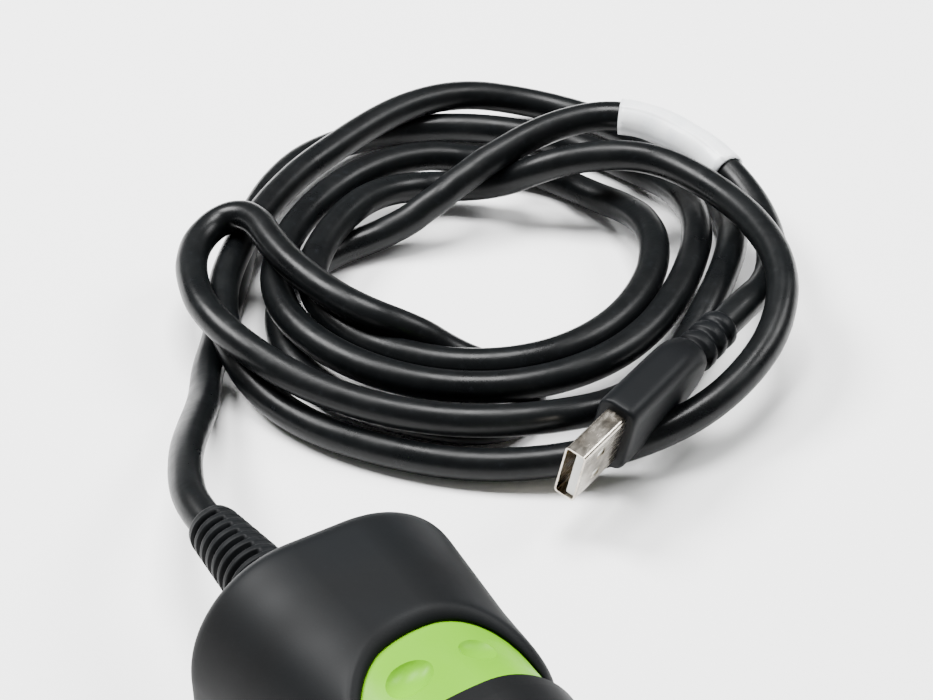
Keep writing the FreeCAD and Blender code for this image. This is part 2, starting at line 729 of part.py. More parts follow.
def boards():
    """The main board in the head, the handle board, their chips and the flexible link."""
    top = 8 + c.board_thick
    plate = box("main_plate", (-34, 64), (-23, 23), (8, top))
    piece("main_board", plate, "head")
    chips = [
        box("chip_processor", (16, 30), (-7, 7), (top, top + 1.4)),
        box("chip_memory", (34, 43), (-6, 3), (top, top + 1.0)),
        box("chip_power", (-28, -22), (8, 14), (top, top + 2.0)),
        box("chip_coil", (-28, -20), (-14, -6), (top, top + 3.0)),
        box("chip_connector", (48, 53), (-8, 8), (top, top + 3.5)),
        box("chip_radio", (46, 56), (11, 19), (top, top + 1.8)),
    ]
    chips += [box("chip_small_%d" % i, (14 + 4 * i, 16 + 4 * i), (12, 13.2), (top, top + 0.6))
              for i in range(5)]
    piece("board_components", group("chips", chips), "head")

    rear = c.board_x
    front = c.board_x + c.board_thick
    plate = box("handle_plate", (rear, front), (c.board_wide / -2, c.board_wide / 2), (18, 106))
    piece("handle_board", plate)

    strip = body("flex_strip")
    sketch = body_sketch(strip, "flex_path", "XZ_Plane")
    polygon(sketch, [(43.7, -3), (43.7, 4.3), (38, 4.3), (38, 7.7), (38.4, 7.7), (38.4, 4.7),
                     (44, 4.7), (44, -3)])
    pad(strip, "flex_pad", sketch, 11, True)
    piece("engine_flex", strip, "head")


def signals():
    """The beeper and the status light with its light pipe."""
    can = cylinder("beeper_can", 6, (4, 7.8), (-16, 0), "z")
    hole = cylinder("beeper_hole", 1, (3, 5), (-16, 0), "z")
    piece("beeper", cut("beeper_cut", can, hole), "head")
    pipe_end = c.head_tall / 2 + c.pipe_proud
    pipe = prism("pipe", "z", (c.pipe_start, pipe_end), c.pipe_long, c.pipe_wide,
                 c.pipe_wide / 2 - c.pipe_gap)
    piece("status_lens", pipe, "head")
    lamp_top = 8 + c.board_thick
    lamp = box("lamp", (-2, 2), (-1.2, 1.2), (lamp_top, lamp_top + 1.2))
    piece("status_led", lamp, "head")


# ---------------------------------------------------------------- trigger

def trigger():
    """The trigger, its pin, its return spring and the switch that it works."""
    lever = body("lever")
    outline = body_sketch(lever, "lever_outline", "XZ_Plane")
    x, z, out = c.pivot_x, c.pivot_z, c.trigger_out
    polygon(outline, [
        (x - c.eye_radius, z + 1.5), (x - 1.5, z + c.eye_radius), (x + 5, z + c.eye_radius),
        (out - 4, z - 3), (out - 2.4, z - 10), (out - 2.8, z - 18), (out - 1.4, z - 26),
        (out, z - c.trigger_drop + 4), (out - 0.8, z - c.trigger_drop),
        (out - 4.5, z - c.trigger_drop), (out - 8, z - 22), (out - 12, z - 13),
        (x - c.eye_radius, z - 12),
    ])
    pad(lever, "lever_pad", outline, c.trigger_width, True)
    hole = body_sketch(lever, "lever_hole", "XZ_Plane")
    circle(hole, c.pin_radius + 0.05, x, z)
    bore = lever.newObject("PartDesign::Pocket", "lever_bore")
    bore.Profile = hole
    bore.SideType = "Symmetric"
    bore.Type = "ThroughAll"
    piece("trigger", lever)

    pin = cylinder("pin_rod", c.pin_radius, (c.pin_length / -2, c.pin_length / 2),
                   (c.pivot_x, c.pivot_z), "y")
    piece("trigger_pin", pin)

    face = c.board_x + c.board_thick
    arm = c.pivot_z - c.press_arm
    rest = c.pivot_x - c.eye_radius
    case = box("switch_case", (face, rest - 2.6), (-6, 6), (arm - 5, arm + 5))
    well = cylinder("switch_well", 1.65, (rest - 6, rest), (0, arm), "x")
    piece("switch_body", cut("switch", case, well))
    button = cylinder("switch_button", 1.6, (rest - 4.4, rest - 0.3), (0, arm), "x")
    piece("switch_plunger", button)

    blade = body("spring_blade")
    bend = body_sketch(blade, "spring_bend", "XZ_Plane")
    low = c.pivot_z - 33
    polygon(bend, [
        (face, low), (face, low + 12), (face + 0.4, low + 12), (face + 0.4, low + 0.6),
        (face + 4, low + 2), (out - 11.2, low + 16.3), (out - 10.9, low + 16),
        (face + 4, low + 1.4), (face + 0.5, low),
    ])
    pad(blade, "spring_pad", bend, 6, True)
    piece("trigger_spring", blade)


# ---------------------------------------------------------------- vibration motor

MOTOR = (9, 0)
MOTOR_Z = (42, 56)


def motor():
    """The small motor whose off-centre weight shakes the handle after a good read."""
    x, y = MOTOR
    low, high = MOTOR_Z
    can = cylinder("motor_can", 3.5, (low, high), (x, y), "z")
    rod = cylinder("motor_rod", 0.5, (low - 6, low), (x, y), "z")
    piece("vibration_motor", fuse("motor", [can, rod]))
    face = c.board_x + c.board_thick
    block = box("cradle_block", (face, x), (-4.6, 4.6), (low + 2, high - 2))
    bore = cylinder("cradle_bore", 3.5, (low, high), (x, y), "z")
    piece("motor_cradle", cut("cradle", block, bore))

    weight = body("half_weight")
    outline = body_sketch(weight, "weight_outline", "XY_Plane")
    arc = Part.ArcOfCircle(Part.Circle(Vector(x, y), Vector(0, 0, 1), 3.4), 0, math.pi)
    outline.addGeometry(arc)
    outline.addGeometry(Part.LineSegment(Vector(x - 3.4, y), Vector(x + 3.4, y)))
    rules = [
        Sketcher.Constraint("Coincident", 0, 1, 1, 2),
        Sketcher.Constraint("Coincident", 0, 2, 1, 1),
        Sketcher.Constraint("Horizontal", 1),
        Sketcher.Constraint("PointOnObject", 0, 3, 1),
        Sketcher.Constraint("Radius", 0, 3.4),
        Sketcher.Constraint("DistanceX", -1, 1, 0, 3, x),
        Sketcher.Constraint("PointOnObject", 0, 3, -1),
    ]
    outline.addConstraint(rules)
    pad(weight, "weight_pad", outline, 4)
    outline.AttachmentOffset = Placement(Vector(0, 0, low - 5.5), Rotation())
    hub = body_sketch(weight, "weight_hub", "XY_Plane")
    circle(hub, 1.4, x, y)
    hub.AttachmentOffset = Placement(Vector(0, 0, low - 5.5), Rotation())
    pad(weight, "hub_pad", hub, 4)
    bore = body_sketch(weight, "weight_bore", "XY_Plane")
    circle(bore, 0.55, x, y)
    bore.AttachmentOffset = Placement(Vector(0, 0, low - 7), Rotation())
    through = weight.newObject("PartDesign::Pocket", "weight_through")
    through.Profile = bore
    through.Reversed = True
    bind(through, "Length", 8)
    piece("vibration_weight", weight)


# ---------------------------------------------------------------- lead at the handle

def lead_entry():
    """The socket in the handle, the lead's inner plug, and the slotted strain relief."""
    case = box("socket_case", (-8, 8), (-7, 7), (4.2, 18))
    mouth = box("socket_mouth", (-5.1, 5.1), (-4.1, 4.1), (3, 15))
    piece("cord_socket", cut("socket", case, mouth))
    piece("cord_plug_body", box("inner_plug", (-5, 5), (-4, 4), (2, 14)))

    boot = body("boot")
    outline = body_sketch(boot, "boot_outline", "XZ_Plane")
    base, tip, end = c.boot_base, c.boot_tip, -c.boot_length
    polygon(outline, [(0, 2), (base, 2), (base, -c.dome_height - 1), (base - 0.9, -16),
                      (tip + 0.9, end + 17), (tip + 0.2, end + 1.5), (tip - 0.6, end), (0, end)])
    turned = boot.newObject("PartDesign::Revolution", "boot_turned")
    turned.Profile = outline
    turned.ReferenceAxis = (outline, ["V_Axis"])
    turned.Angle = 360
    first = end + 2.2
    for side in (1, -1):
        name = "fore" if side > 0 else "aft"
        slot = body_sketch(boot, "slot_%s" % name, "XZ_Plane")
        rim = (tip - c.slot_depth + 0.6) * side
        polygon(slot, [(rim, first), (9 * side, first), (9 * side, first + c.slot_wide),
                       (rim, first + c.slot_wide)])
        pocket = boot.newObject("PartDesign::Pocket", "slot_cut_%s" % name)
        pocket.Profile = slot
        pocket.SideType = "Symmetric"
        bind(pocket, "Length", tip * 1.7)
        row = boot.newObject("PartDesign::LinearPattern", "slots_%s" % name)
        row.Originals = [pocket]
        row.Direction = (slot, ["V_Axis"])
        bind(row, "Length", c.slot_pitch * (c.slot_count - 1))
        bind(row, "Occurrences", c.slot_count)
        boot.Tip = row
    piece("cord_boot", boot)

    hole = cylinder("ring_core", c.boot_base, (-8, -2), (0, 0), "z")
    piece("port_seal", cut("ring_cut", seal_ring("ring"), hole))


# ---------------------------------------------------------------- plug

def plug():
    """The flat computer plug at the lead's far end, drawn along +x from its opening."""
    rear = c.shell_long + c.shell_hidden
    sheet_t = c.shell_sheet
    outer = prism("shell_outer", "x", (0, rear), c.shell_thick, c.shell_wide, 0.8)
    inner = prism("shell_inner", "x", (-1, rear + 1), c.shell_thick - sheet_t * 2,
                  c.shell_wide - sheet_t * 2, 0.5)
    windows = [box("shell_window_%d" % i, (5, 7.6), (-5, 5), (z - 1, z + 1))
               for i, z in enumerate((-2.7, 2.7))]
    piece("usb_shell", cut("shell_tube", outer, fuse("shell_tools", [inner] + windows)), "plug")
    half = c.shell_wide / 2 - sheet_t - 0.5
    side = c.shell_thick / -2 + sheet_t
    tongue = box("tongue", (0.6, rear), (side, side + 1.9), (-half, half))
    piece("usb_insulator", tongue, "plug")
    strips = [box("contact_%d" % i, (1.4, 10.4), (side + 1.9, side + 2.1), (z - 0.55, z + 0.55))
              for i, z in enumerate((-3.5, -1, 1, 3.5))]
    piece("usb_contacts", group("strips", strips), "plug")

    back = c.shell_long + c.cover_long
    block = loft("cover_block", "x", [
        (c.shell_long, c.cover_thick - 1, c.cover_wide - 1, 2.4),
        (c.shell_long + 1.2, c.cover_thick, c.cover_wide, 2.8),
        (back - 9, c.cover_thick, c.cover_wide, 2.8),
        (back - 2, c.cover_thick, c.cover_wide - 4, 3.2),
        (back, c.cover_thick - 1.4, c.cover_thick - 0.4, 3.2),
    ])
    seat = prism("cover_seat", "x", (c.shell_long - 1, rear), c.shell_thick, c.shell_wide, 0.8)
    piece("usb_overmould", cut("cover", block, seat), "plug")

    relief = body("relief")
    outline = body_sketch(relief, "relief_outline", "XY_Plane")
    r = c.relief_radius
    profile = [(back, 0), (back, r - 0.8)]
    pitch = c.relief_long / 3
    for ring in range(3):
        start = back + pitch * ring
        profile += [(start + 0.9, r - 0.8 - 0.1 * ring), (start + 0.9, r - 0.1 * ring),
                    (start + pitch - 0.3, r - 0.1 * ring), (start + pitch, r - 0.8 - 0.1 * ring)]
    profile.append((back + c.relief_long, 0))
    polygon(outline, profile)
    turned = relief.newObject("PartDesign::Revolution", "relief_turned")
    turned.Profile = outline
    turned.ReferenceAxis = (outline, ["H_Axis"])
    turned.Angle = 360
    piece("usb_strain_relief", relief, "plug")


# ---------------------------------------------------------------- lead and coil

COIL_CENTRE = (97, 61.5)
PLUG_MOUTH = (66.3, -15.5)
LEAD_STRAIGHT = 7
LEAD_POINTS = [(3, 16, -2.5), (8.5, 27, -6), (16, 38.5, -11), (23.5, 49.5, -16),
               (29.5, 60.5, -18.8)]


def arc_route(points):
    """Straight runs joined by the largest tangent arcs that the runs allow."""
    edges = []
    radii = []
    start = points[0]
    for before, corner, after in zip(points, points[1:], points[2:]):
        inward = (before - corner).normalize()
        outward = (after - corner).normalize()
        turn = math.pi - inward.getAngle(outward)
        shorter = min(before.distanceToPoint(corner), after.distanceToPoint(corner))
        back_off = 0.45 * shorter
        radii.append(back_off / math.tan(turn / 2))
        enter = corner + inward * back_off
        leave = corner + outward * back_off
        to_middle = radii[-1] / math.cos(turn / 2) - radii[-1]
        middle = corner + (inward + outward).normalize() * to_middle
        edges.append(Part.LineSegment(start, enter).toShape())
        edges.append(Part.Arc(enter, middle, leave).toShape())
        start = leave
    edges.append(Part.LineSegment(start, points[-1]).toShape())
    return Part.Wire(edges), radii


def lead(exit_point, exit_way):
    """The stretch of lead between the strain relief and the coil."""
    points = [exit_point, exit_point + exit_way * LEAD_STRAIGHT]
    points += [exit_point + Vector(*p) for p in LEAD_POINTS]
    wire, radii = arc_route(points)
    disc = Part.Circle(exit_point, points[1] - points[0], c.cord_dia.value / 2)
    profile = Part.Wire([disc.toShape()])
    tube = wire.makePipeShell([profile], True, False)
    thing = doc.addObject("Part::Feature", "lead_tube")
    thing.Shape = tube
    expected = math.pi * (c.cord_dia.value / 2) ** 2 * wire.Length
    print("lead: length %.1f, volume %.0f, section x length %.0f, radii %s"
          % (wire.Length, tube.Volume, expected, ["%.0f" % r for r in radii]))
    piece("cord_lead", thing, "counter")


def coil(centre, plug_place):
    """The loose coil's outer shape, with a notch that the plug lies in, and its label."""
    disc = doc.addObject("Part::Cylinder", "coil_disc")
    hole = doc.addObject("Part::Cylinder", "coil_hole")
    bind(disc, "Radius", c.coil_outer)
    bind(disc, "Height", c.coil_height)
    bind(hole, "Radius", c.coil_inner)
    bind(hole, "Height", c.coil_height)
    for solid in (disc, hole):
        solid.Placement = Placement(centre, Rotation())
    ring = cut("coil_ring", disc, hole)
    gap = 0.4
    length = c.shell_long + c.cover_long + c.relief_long
    notch = doc.addObject("Part::Box", "coil_notch")
    bind(notch, "Length", length + 20)
    bind(notch, "Width", c.cover_thick + 2 * gap)
    bind(notch, "Height", c.cover_wide + 20)
    local = Vector(-20, -c.cover_thick.value / 2 - gap, -c.cover_wide.value / 2 - gap)
    notch.Placement = plug_place.multiply(Placement(local, Rotation()))
    piece("cord_coil", cut("coil", ring, notch), "counter")


def label(centre):
    """The blank wrap label round one turn of the coil."""
    tag = doc.addObject("Part::Torus", "label_arc")
    bind(tag, "Radius1", c.coil_outer - 12)
    bind(tag, "Radius2", c.cord_dia / 2 + 1.2)
    tag.Angle3 = 30
    up = Vector(0, 0, c.coil_height.value - c.cord_dia.value / 2 - 1.2)
    tag.Placement = Placement(centre + up, Rotation(Vector(0, 0, 1), -4))
    piece("cord_label", tag, "counter")


# ---------------------------------------------------------------- laying it all down

def resting_turn():
    """Turn the scanner onto its right side, on its foot and both bumpers."""
    pitch = Placement(Vector(0, 0, c.head_height.value),
                      Rotation(Vector(0, -1, 0), c.head_pitch.value))
    flat = c.nose_tall.value / 2 - c.bumper_corner.value
    rear_flat = c.tail_tall.value / 2 - c.bumper_corner.value
    side = -c.bumper_wide.value / 2
    front = c.head_front.value + c.nose_cap.value - c.bumper_bevel.value
    rear = -c.head_back.value - c.nose_cap.value + c.bumper_bevel.value * 1.2
    nose_touch = pitch.multVec(Vector(front, side, -flat))
    tail_touch = pitch.multVec(Vector(rear, side, -rear_flat))
    foot_touch = Vector(0, -c.foot_width.value / 2, 0)
    lay = Rotation(Vector(1, 0, 0), 90)
    a, b, d = [lay.multVec(p) for p in (nose_touch, tail_touch, foot_touch)]
    normal = (b - a).cross(d - a)
    if normal.z < 0:
        normal = normal * -1
    return Rotation(normal, Vector(0, 0, 1)).multiply(lay)


def bounds(shapes):
    """The box round several shapes."""
    whole = FreeCAD.BoundBox()
    for shape in shapes:
        whole.add(shape.optimalBoundingBox(False, False))
    return whole


def build():
    """Make every piece, lay the object down and write each piece to its own file."""
    shells()
    foot()
    grip()
    nose()
    tail()
    window()
    engine()
    boards()
    signals()
    trigger()
    motor()
    lead_entry()
    plug()
    doc.recompute()

    pitch = Placement(Vector(0, 0, c.head_height.value),
                      Rotation(Vector(0, -1, 0), c.head_pitch.value))
    turn = resting_turn()
    frames = {"handle": Placement(), "head": pitch}
    on_lead = ("cord_boot", "cord_plug_body")
    laid = []
    for name, (thing, frame) in PIECES.items():
        if frame in frames and name not in on_lead:
            shape = thing.Shape.copy()
            shape.Placement = (Placement(Vector(), turn).multiply(frames[frame])
                               .multiply(shape.Placement))
            laid.append(shape)
    around = bounds(laid)
    shift = Vector(-around.Center.x, -around.Center.y, -around.ZMin)
    resting = Placement(shift, turn)

    exit_point = resting.multVec(Vector(0, 0, -c.boot_length.value))
    exit_way = turn.multVec(Vector(0, 0, -1))
    floor_exit = Vector(exit_point.x, exit_point.y, 0)
    roll = Rotation(Vector(1, 0, 0), c.plug_roll.value)
    aim = Rotation(Vector(0, 0, 1), c.plug_turn.value)
    tilt = math.radians(c.plug_roll.value)
    half = (c.cover_wide.value / 2 * math.cos(tilt) + c.cover_thick.value / 2 * math.sin(tilt))
    mouth = floor_exit + Vector(*PLUG_MOUTH, c.plug_lift.value + half)
    plug_place = Placement(mouth, aim.multiply(roll))
    centre = floor_exit + Vector(*COIL_CENTRE, 0)
    lead(exit_point, exit_way)
    coil(centre, plug_place)
    label(centre)
    doc.recompute()

    frames = {"handle": resting, "head": resting.multiply(pitch), "plug": plug_place,
              "counter": Placement()}
    for thing, frame in PIECES.values():
        thing.Placement = frames[frame].multiply(thing.Placement)

    check_document()
    os.makedirs("parts", exist_ok=True)
    for name, (thing, frame) in PIECES.items():
        thing.Shape.exportStep("parts/%s.step" % name)
    report(resting, exit_point, exit_way, plug_place, centre)


def check_document():
    """Stop if any object failed or any piece is empty or broken."""
    for thing in doc.Objects:
        if "Invalid" in thing.State or "Error" in thing.State:
            raise RuntimeError("%s failed: %s" % (thing.Name, thing.State))
    for name, (thing, _) in PIECES.items():
        if thing.Shape.isNull() or not thing.Shape.isValid():
            raise RuntimeError("%s has no valid shape" % name)
        if not thing.Shape.Solids:
            raise RuntimeError("%s has no solid" % name)


def report(resting, exit_point, exit_way, plug_place, centre):
    """Print where the moving parts and the lead are."""
    pivot = resting.multVec(Vector(c.pivot_x.value, 0, c.pivot_z.value))
    print("pieces", len(PIECES))
    print("trigger pivot", pivot, "axis", resting.Rotation.multVec(Vector(0, 1, 0)))
    print("plunger axis", resting.Rotation.multVec(Vector(-1, 0, 0)))
    print("motor", resting.multVec(Vector(*MOTOR, MOTOR_Z[0])),
          "axis", resting.Rotation.multVec(Vector(0, 0, 1)))
    print("lead leaves at", exit_point, "towards", exit_way)
    print("plug", plug_place, "coil centre", centre)
    for name, (thing, _) in PIECES.items():
        limits = thing.Shape.BoundBox
        print("%-18s %9.1f mm3  x %.1f..%.1f  y %.1f..%.1f  z %.1f..%.1f  solids %d" % (
            name, thing.Shape.Volume, limits.XMin, limits.XMax, limits.YMin, limits.YMax,
            limits.ZMin, limits.ZMax, len(thing.Shape.Solids)))


build()
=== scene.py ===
"""Handheld barcode scanner with its coiled lead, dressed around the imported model.

Lengths are written in millimetres and turned into metres where a mesh is made.
The scanner's own frame has x out of the nose, y to the left and z up the handle, with
z = 0 at the plane where the handle's foot stops being straight.
"""

import json
import logging
import math
from dataclasses import dataclass, field
from enum import Enum
from typing import Callable, Sequence

import bmesh
import bpy
from mathutils import Matrix, Vector


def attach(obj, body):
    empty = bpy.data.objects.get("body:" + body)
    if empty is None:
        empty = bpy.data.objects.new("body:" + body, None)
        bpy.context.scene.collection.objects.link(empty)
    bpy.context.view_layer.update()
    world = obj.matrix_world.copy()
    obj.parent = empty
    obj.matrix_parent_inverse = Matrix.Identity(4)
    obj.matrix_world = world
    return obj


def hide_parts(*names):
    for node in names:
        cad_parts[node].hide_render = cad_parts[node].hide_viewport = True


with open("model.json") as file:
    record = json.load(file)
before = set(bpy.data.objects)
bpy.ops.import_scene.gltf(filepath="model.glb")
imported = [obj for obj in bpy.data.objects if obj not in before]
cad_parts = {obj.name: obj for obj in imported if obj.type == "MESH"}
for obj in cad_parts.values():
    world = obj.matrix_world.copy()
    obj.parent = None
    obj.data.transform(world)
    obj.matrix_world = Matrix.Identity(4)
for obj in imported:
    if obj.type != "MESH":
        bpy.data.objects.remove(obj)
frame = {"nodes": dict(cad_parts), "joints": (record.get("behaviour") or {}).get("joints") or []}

MM = 0.001
log = logging.getLogger("scanner")


# ---------------------------------------------------------------- colour and shader helpers

def linear(code: str) -> tuple[float, float, float, float]:
    """Turn an sRGB hex colour into linear light.

    Args:
        code: six hex digits, such as "B7E000".

    Returns:
        Linear red, green, blue and an alpha of 1.
    """
    parts = [int(code[i:i + 2], 16) / 255 for i in (0, 2, 4)]
    light = [p / 12.92 if p <= 0.04045 else ((p + 0.055) / 1.055) ** 2.4 for p in parts]
    return (light[0], light[1], light[2], 1.0)


def add(tree: bpy.types.NodeTree, kind: str, settings: dict | None = None,
        links: dict | None = None) -> bpy.types.Node:
    """Add a shader node with its settings and incoming links.

    Args:
        tree: the material's node tree.
        kind: the node's type name without the ShaderNode prefix.
        settings: attributes by name, or input values by name or number.
        links: output sockets to connect, by input name or number.

    Returns:
        The new node.
    """
    node = tree.nodes.new("ShaderNode" + kind)
    for key, value in (settings or {}).items():
        if isinstance(key, str) and hasattr(node, key):
            setattr(node, key, value)
        else:
            node.inputs[key].default_value = value
    for key, socket in (links or {}).items():
        tree.links.new(socket, node.inputs[key])
    return node


def per_mm(size: float) -> float:
    """Texture scale at which one cell is about size millimetres across."""
    return 1000.0 / size


class Start:
    """A new material with its shader, its output and its Object coordinates."""

    def __init__(self, name: str) -> None:
        """Make the material.

        Args:
            name: the material's name.
        """
        self.material = bpy.data.materials.new(name)
        self.material.use_nodes = True
        self.tree = self.material.node_tree
        self.tree.nodes.clear()
        self.shader = add(self.tree, "BsdfPrincipled")
        add(self.tree, "OutputMaterial", links={"Surface": self.shader.outputs["BSDF"]})
        self.place = add(self.tree, "TexCoord").outputs["Object"]

    def noise(self, size: float, detail: float = 3.0, rough: float = 0.55
              ) -> bpy.types.NodeSocket:
        """Grey noise whose grains are about size millimetres."""
        made = add(self.tree, "TexNoise",
                   {"Scale": per_mm(size), "Detail": detail, "Roughness": rough},
                   {"Vector": self.place})
        return made.outputs["Fac"]

    def ramp(self, source: bpy.types.NodeSocket, stops: Sequence[tuple[float, tuple]]
             ) -> bpy.types.NodeSocket:
        """Turn a grey value into colours.

        Args:
            source: the grey value.
            stops: position and linear colour of each stop.

        Returns:
            The colour socket.
        """
        node = add(self.tree, "ValToRGB", links={"Fac": source})
        ramp = node.color_ramp
        while len(ramp.elements) < len(stops):
            ramp.elements.new(0.5)
        for element, (position, colour) in zip(ramp.elements, stops):
            element.position = position
            element.color = colour
        return node.outputs["Color"]

    def spread(self, source: bpy.types.NodeSocket, low: float, high: float,
               start: float = 0.3, stop: float = 0.7) -> bpy.types.NodeSocket:
        """Map a grey value between start and stop onto low to high."""
        node = add(self.tree, "MapRange", {"From Min": start, "From Max": stop,
                                           "To Min": low, "To Max": high}, {"Value": source})
        return node.outputs["Result"]

    def mix(self, fac: bpy.types.NodeSocket | float, first: bpy.types.NodeSocket | tuple,
            second: bpy.types.NodeSocket | tuple) -> bpy.types.NodeSocket:
        """Mix two colours.

        Args:
            fac: how much of the second colour shows.
            first: colour or socket.
            second: colour or socket.

        Returns:
            The mixed colour.
        """
        node = self.tree.nodes.new("ShaderNodeMix")
        node.data_type = "RGBA"
        sockets = (node.inputs["Factor"], node.inputs[6], node.inputs[7])
        for socket, value in zip(sockets, (fac, first, second)):
            if isinstance(value, bpy.types.NodeSocket):
                self.tree.links.new(value, socket)
            else:
                socket.default_value = value
        return node.outputs[2]

    def bump(self, height: bpy.types.NodeSocket, depth: float, strength: float = 1.0,
             under: bpy.types.NodeSocket | None = None) -> bpy.types.NodeSocket:
        """A bumped normal, depth in millimetres."""
        links = {"Height": height}
        if under is not None:
            links["Normal"] = under
        node = add(self.tree, "Bump", {"Strength": strength, "Distance": depth * MM}, links)
        return node.outputs["Normal"]

    def dress(self, colour: bpy.types.NodeSocket | tuple, rough: bpy.types.NodeSocket | float,
              normal: bpy.types.NodeSocket | None = None, **values: float | tuple
              ) -> bpy.types.Material:
        """Fill in the shader.

        Args:
            colour: base colour or its socket.
            rough: roughness or its socket.
            normal: bumped normal.
            **values: other shader inputs, with spaces written as underscores.

        Returns:
            The finished material.
        """
        for socket, value in ((self.shader.inputs["Base Color"], colour),
                              (self.shader.inputs["Roughness"], rough)):
            if isinstance(value, bpy.types.NodeSocket):
                self.tree.links.new(value, socket)
            else:
                socket.default_value = value
        if normal is not None:
            self.tree.links.new(normal, self.shader.inputs["Normal"])
        for key, value in values.items():
            self.shader.inputs[key.replace("_", " ")].default_value = value
        return self.material


# ---------------------------------------------------------------- finishes

@dataclass(frozen=True)
class MouldedRubber:
    """Overmoulded thermoplastic rubber: spark-eroded grain, dull, handled smooth in patches."""

    name: str
    base: str = "08090A"
    worn: str = "0D0F11"
    dust: str = "181B1E"
    grain: float = 0.35
    rough_low: float = 0.44
    rough_high: float = 0.60

    def make(self) -> bpy.types.Material:
        """Build the material: fine grain, soft mottling and a little dust."""
        s = Start(self.name)
        patches = s.noise(26, 2.0)
        speck = s.noise(0.9, 4.0, 0.7)
        grain = s.noise(self.grain, 2.0)
        body = s.ramp(patches, ((0.35, linear(self.base)), (0.7, linear(self.worn))))
        dusty = s.mix(s.spread(speck, 0.0, 0.35, 0.62, 0.75), body, linear(self.dust))
        rough = s.spread(patches, self.rough_high, self.rough_low)
        normal = s.bump(grain, 0.02, 0.5, s.bump(s.noise(7, 2.0), 0.10, 0.35))
        return s.dress(dusty, rough, normal, IOR=1.5, Specular_IOR_Level=0.1)


@dataclass(frozen=True)
class MouldedShell:
    """Injection-moulded polycarbonate blend, satin, with light dirt in small flecks."""

    name: str
    base: str = "66A800"
    deep: str = "5B9A00"
    grime: str = "26380A"
    rough_low: float = 0.30
    rough_high: float = 0.42

    def make(self) -> bpy.types.Material:
        """Build the material: even colour, faint mottling and small dirty flecks."""
        s = Start(self.name)
        patches = s.noise(18, 2.0)
        fleck = s.noise(2.2, 5.0, 0.65)
        body = s.ramp(patches, ((0.3, linear(self.base)), (0.75, linear(self.deep))))
        dirty = s.mix(s.spread(fleck, 0.0, 0.55, 0.68, 0.80), body, linear(self.grime))
        rough = s.spread(s.noise(5, 3.0), self.rough_low, self.rough_high)
        normal = s.bump(s.noise(0.25, 2.0), 0.006, 0.5, s.bump(s.noise(9, 1.0), 0.05, 0.25))
        return s.dress(dirty, rough, normal, IOR=1.58, Specular_IOR_Level=0.08)


@dataclass(frozen=True)
class CordJacket:
    """Extruded flexible PVC: drawn smooth, greasy sheen, scuffed and dusty from use."""

    name: str
    base: str = "060708"
    scuff: str = "16181B"
    rough_low: float = 0.24
    rough_high: float = 0.42

    def make(self) -> bpy.types.Material:
        """Build the material: mottled sheen, faint scuffs and small dents."""
        s = Start(self.name)
        patches = s.noise(14, 4.0, 0.6)
        scuffs = s.noise(1.6, 6.0, 0.72)
        body = s.ramp(patches, ((0.35, linear(self.base)), (0.65, linear("0A0C0D"))))
        marked = s.mix(s.spread(scuffs, 0.0, 0.7, 0.56, 0.72), body, linear(self.scuff))
        rough = s.spread(s.noise(9, 5.0, 0.65), self.rough_low, self.rough_high)
        dents = s.bump(s.noise(6, 3.0), 0.16, 0.55)
        normal = s.bump(s.noise(0.6, 3.0), 0.012, 0.5, dents)
        return s.dress(marked, rough, normal, IOR=1.53, Specular_IOR_Level=0.14)


@dataclass(frozen=True)
class PlatedSteel:
    """Thin steel, nickel plated: warm bright metal with drawing lines and handling marks."""

    name: str
    base: str = "CBC4B8"
    dull: str = "8F877B"
    rough_low: float = 0.16
    rough_high: float = 0.32

    def make(self) -> bpy.types.Material:
        """Build the material: bright metal, duller in clouds, with fine lines."""
        s = Start(self.name)
        stretched = add(s.tree, "Mapping", {"Scale": (1.0, 1.0, 12.0)}, {"Vector": s.place})
        lines = add(s.tree, "TexNoise", {"Scale": per_mm(2.5), "Detail": 4.0},
                    {"Vector": stretched.outputs["Vector"]}).outputs["Fac"]
        clouds = s.noise(4, 4.0)
        colour = s.ramp(clouds, ((0.35, linear(self.dull)), (0.6, linear(self.base))))
        rough = s.spread(lines, self.rough_low, self.rough_high)
        return s.dress(colour, rough, s.bump(lines, 0.004, 0.4), Metallic=1.0)


@dataclass(frozen=True)
class PlainPlastic:
    """Moulded engineering plastic, such as ABS or nylon, with a fine eroded grain."""

    name: str
    base: str
    shade: str
    rough: float = 0.5
    grain: float = 0.4

    def make(self) -> bpy.types.Material:
        """Build the material: two close shades and a grain."""
        s = Start(self.name)
        colour = s.ramp(s.noise(6, 4.0), ((0.35, linear(self.base)), (0.7, linear(self.shade))))
        rough = s.spread(s.noise(3, 3.0), self.rough - 0.08, self.rough + 0.08)
        return s.dress(colour, rough, s.bump(s.noise(self.grain, 2.0), 0.01, 0.4), IOR=1.5)


@dataclass(frozen=True)
class MachinedMetal:
    """Cast, turned or sintered metal with tool marks."""

    name: str
    base: str
    shade: str
    rough: float = 0.35

    def make(self) -> bpy.types.Material:
        """Build the material: metal with fine marks."""
        s = Start(self.name)
        marks = s.noise(0.5, 4.0)
        colour = s.ramp(s.noise(3, 3.0), ((0.3, linear(self.base)), (0.7, linear(self.shade))))
        rough = s.spread(marks, self.rough - 0.1, self.rough + 0.1)
        return s.dress(colour, rough, s.bump(marks, 0.01, 0.4), Metallic=1.0)


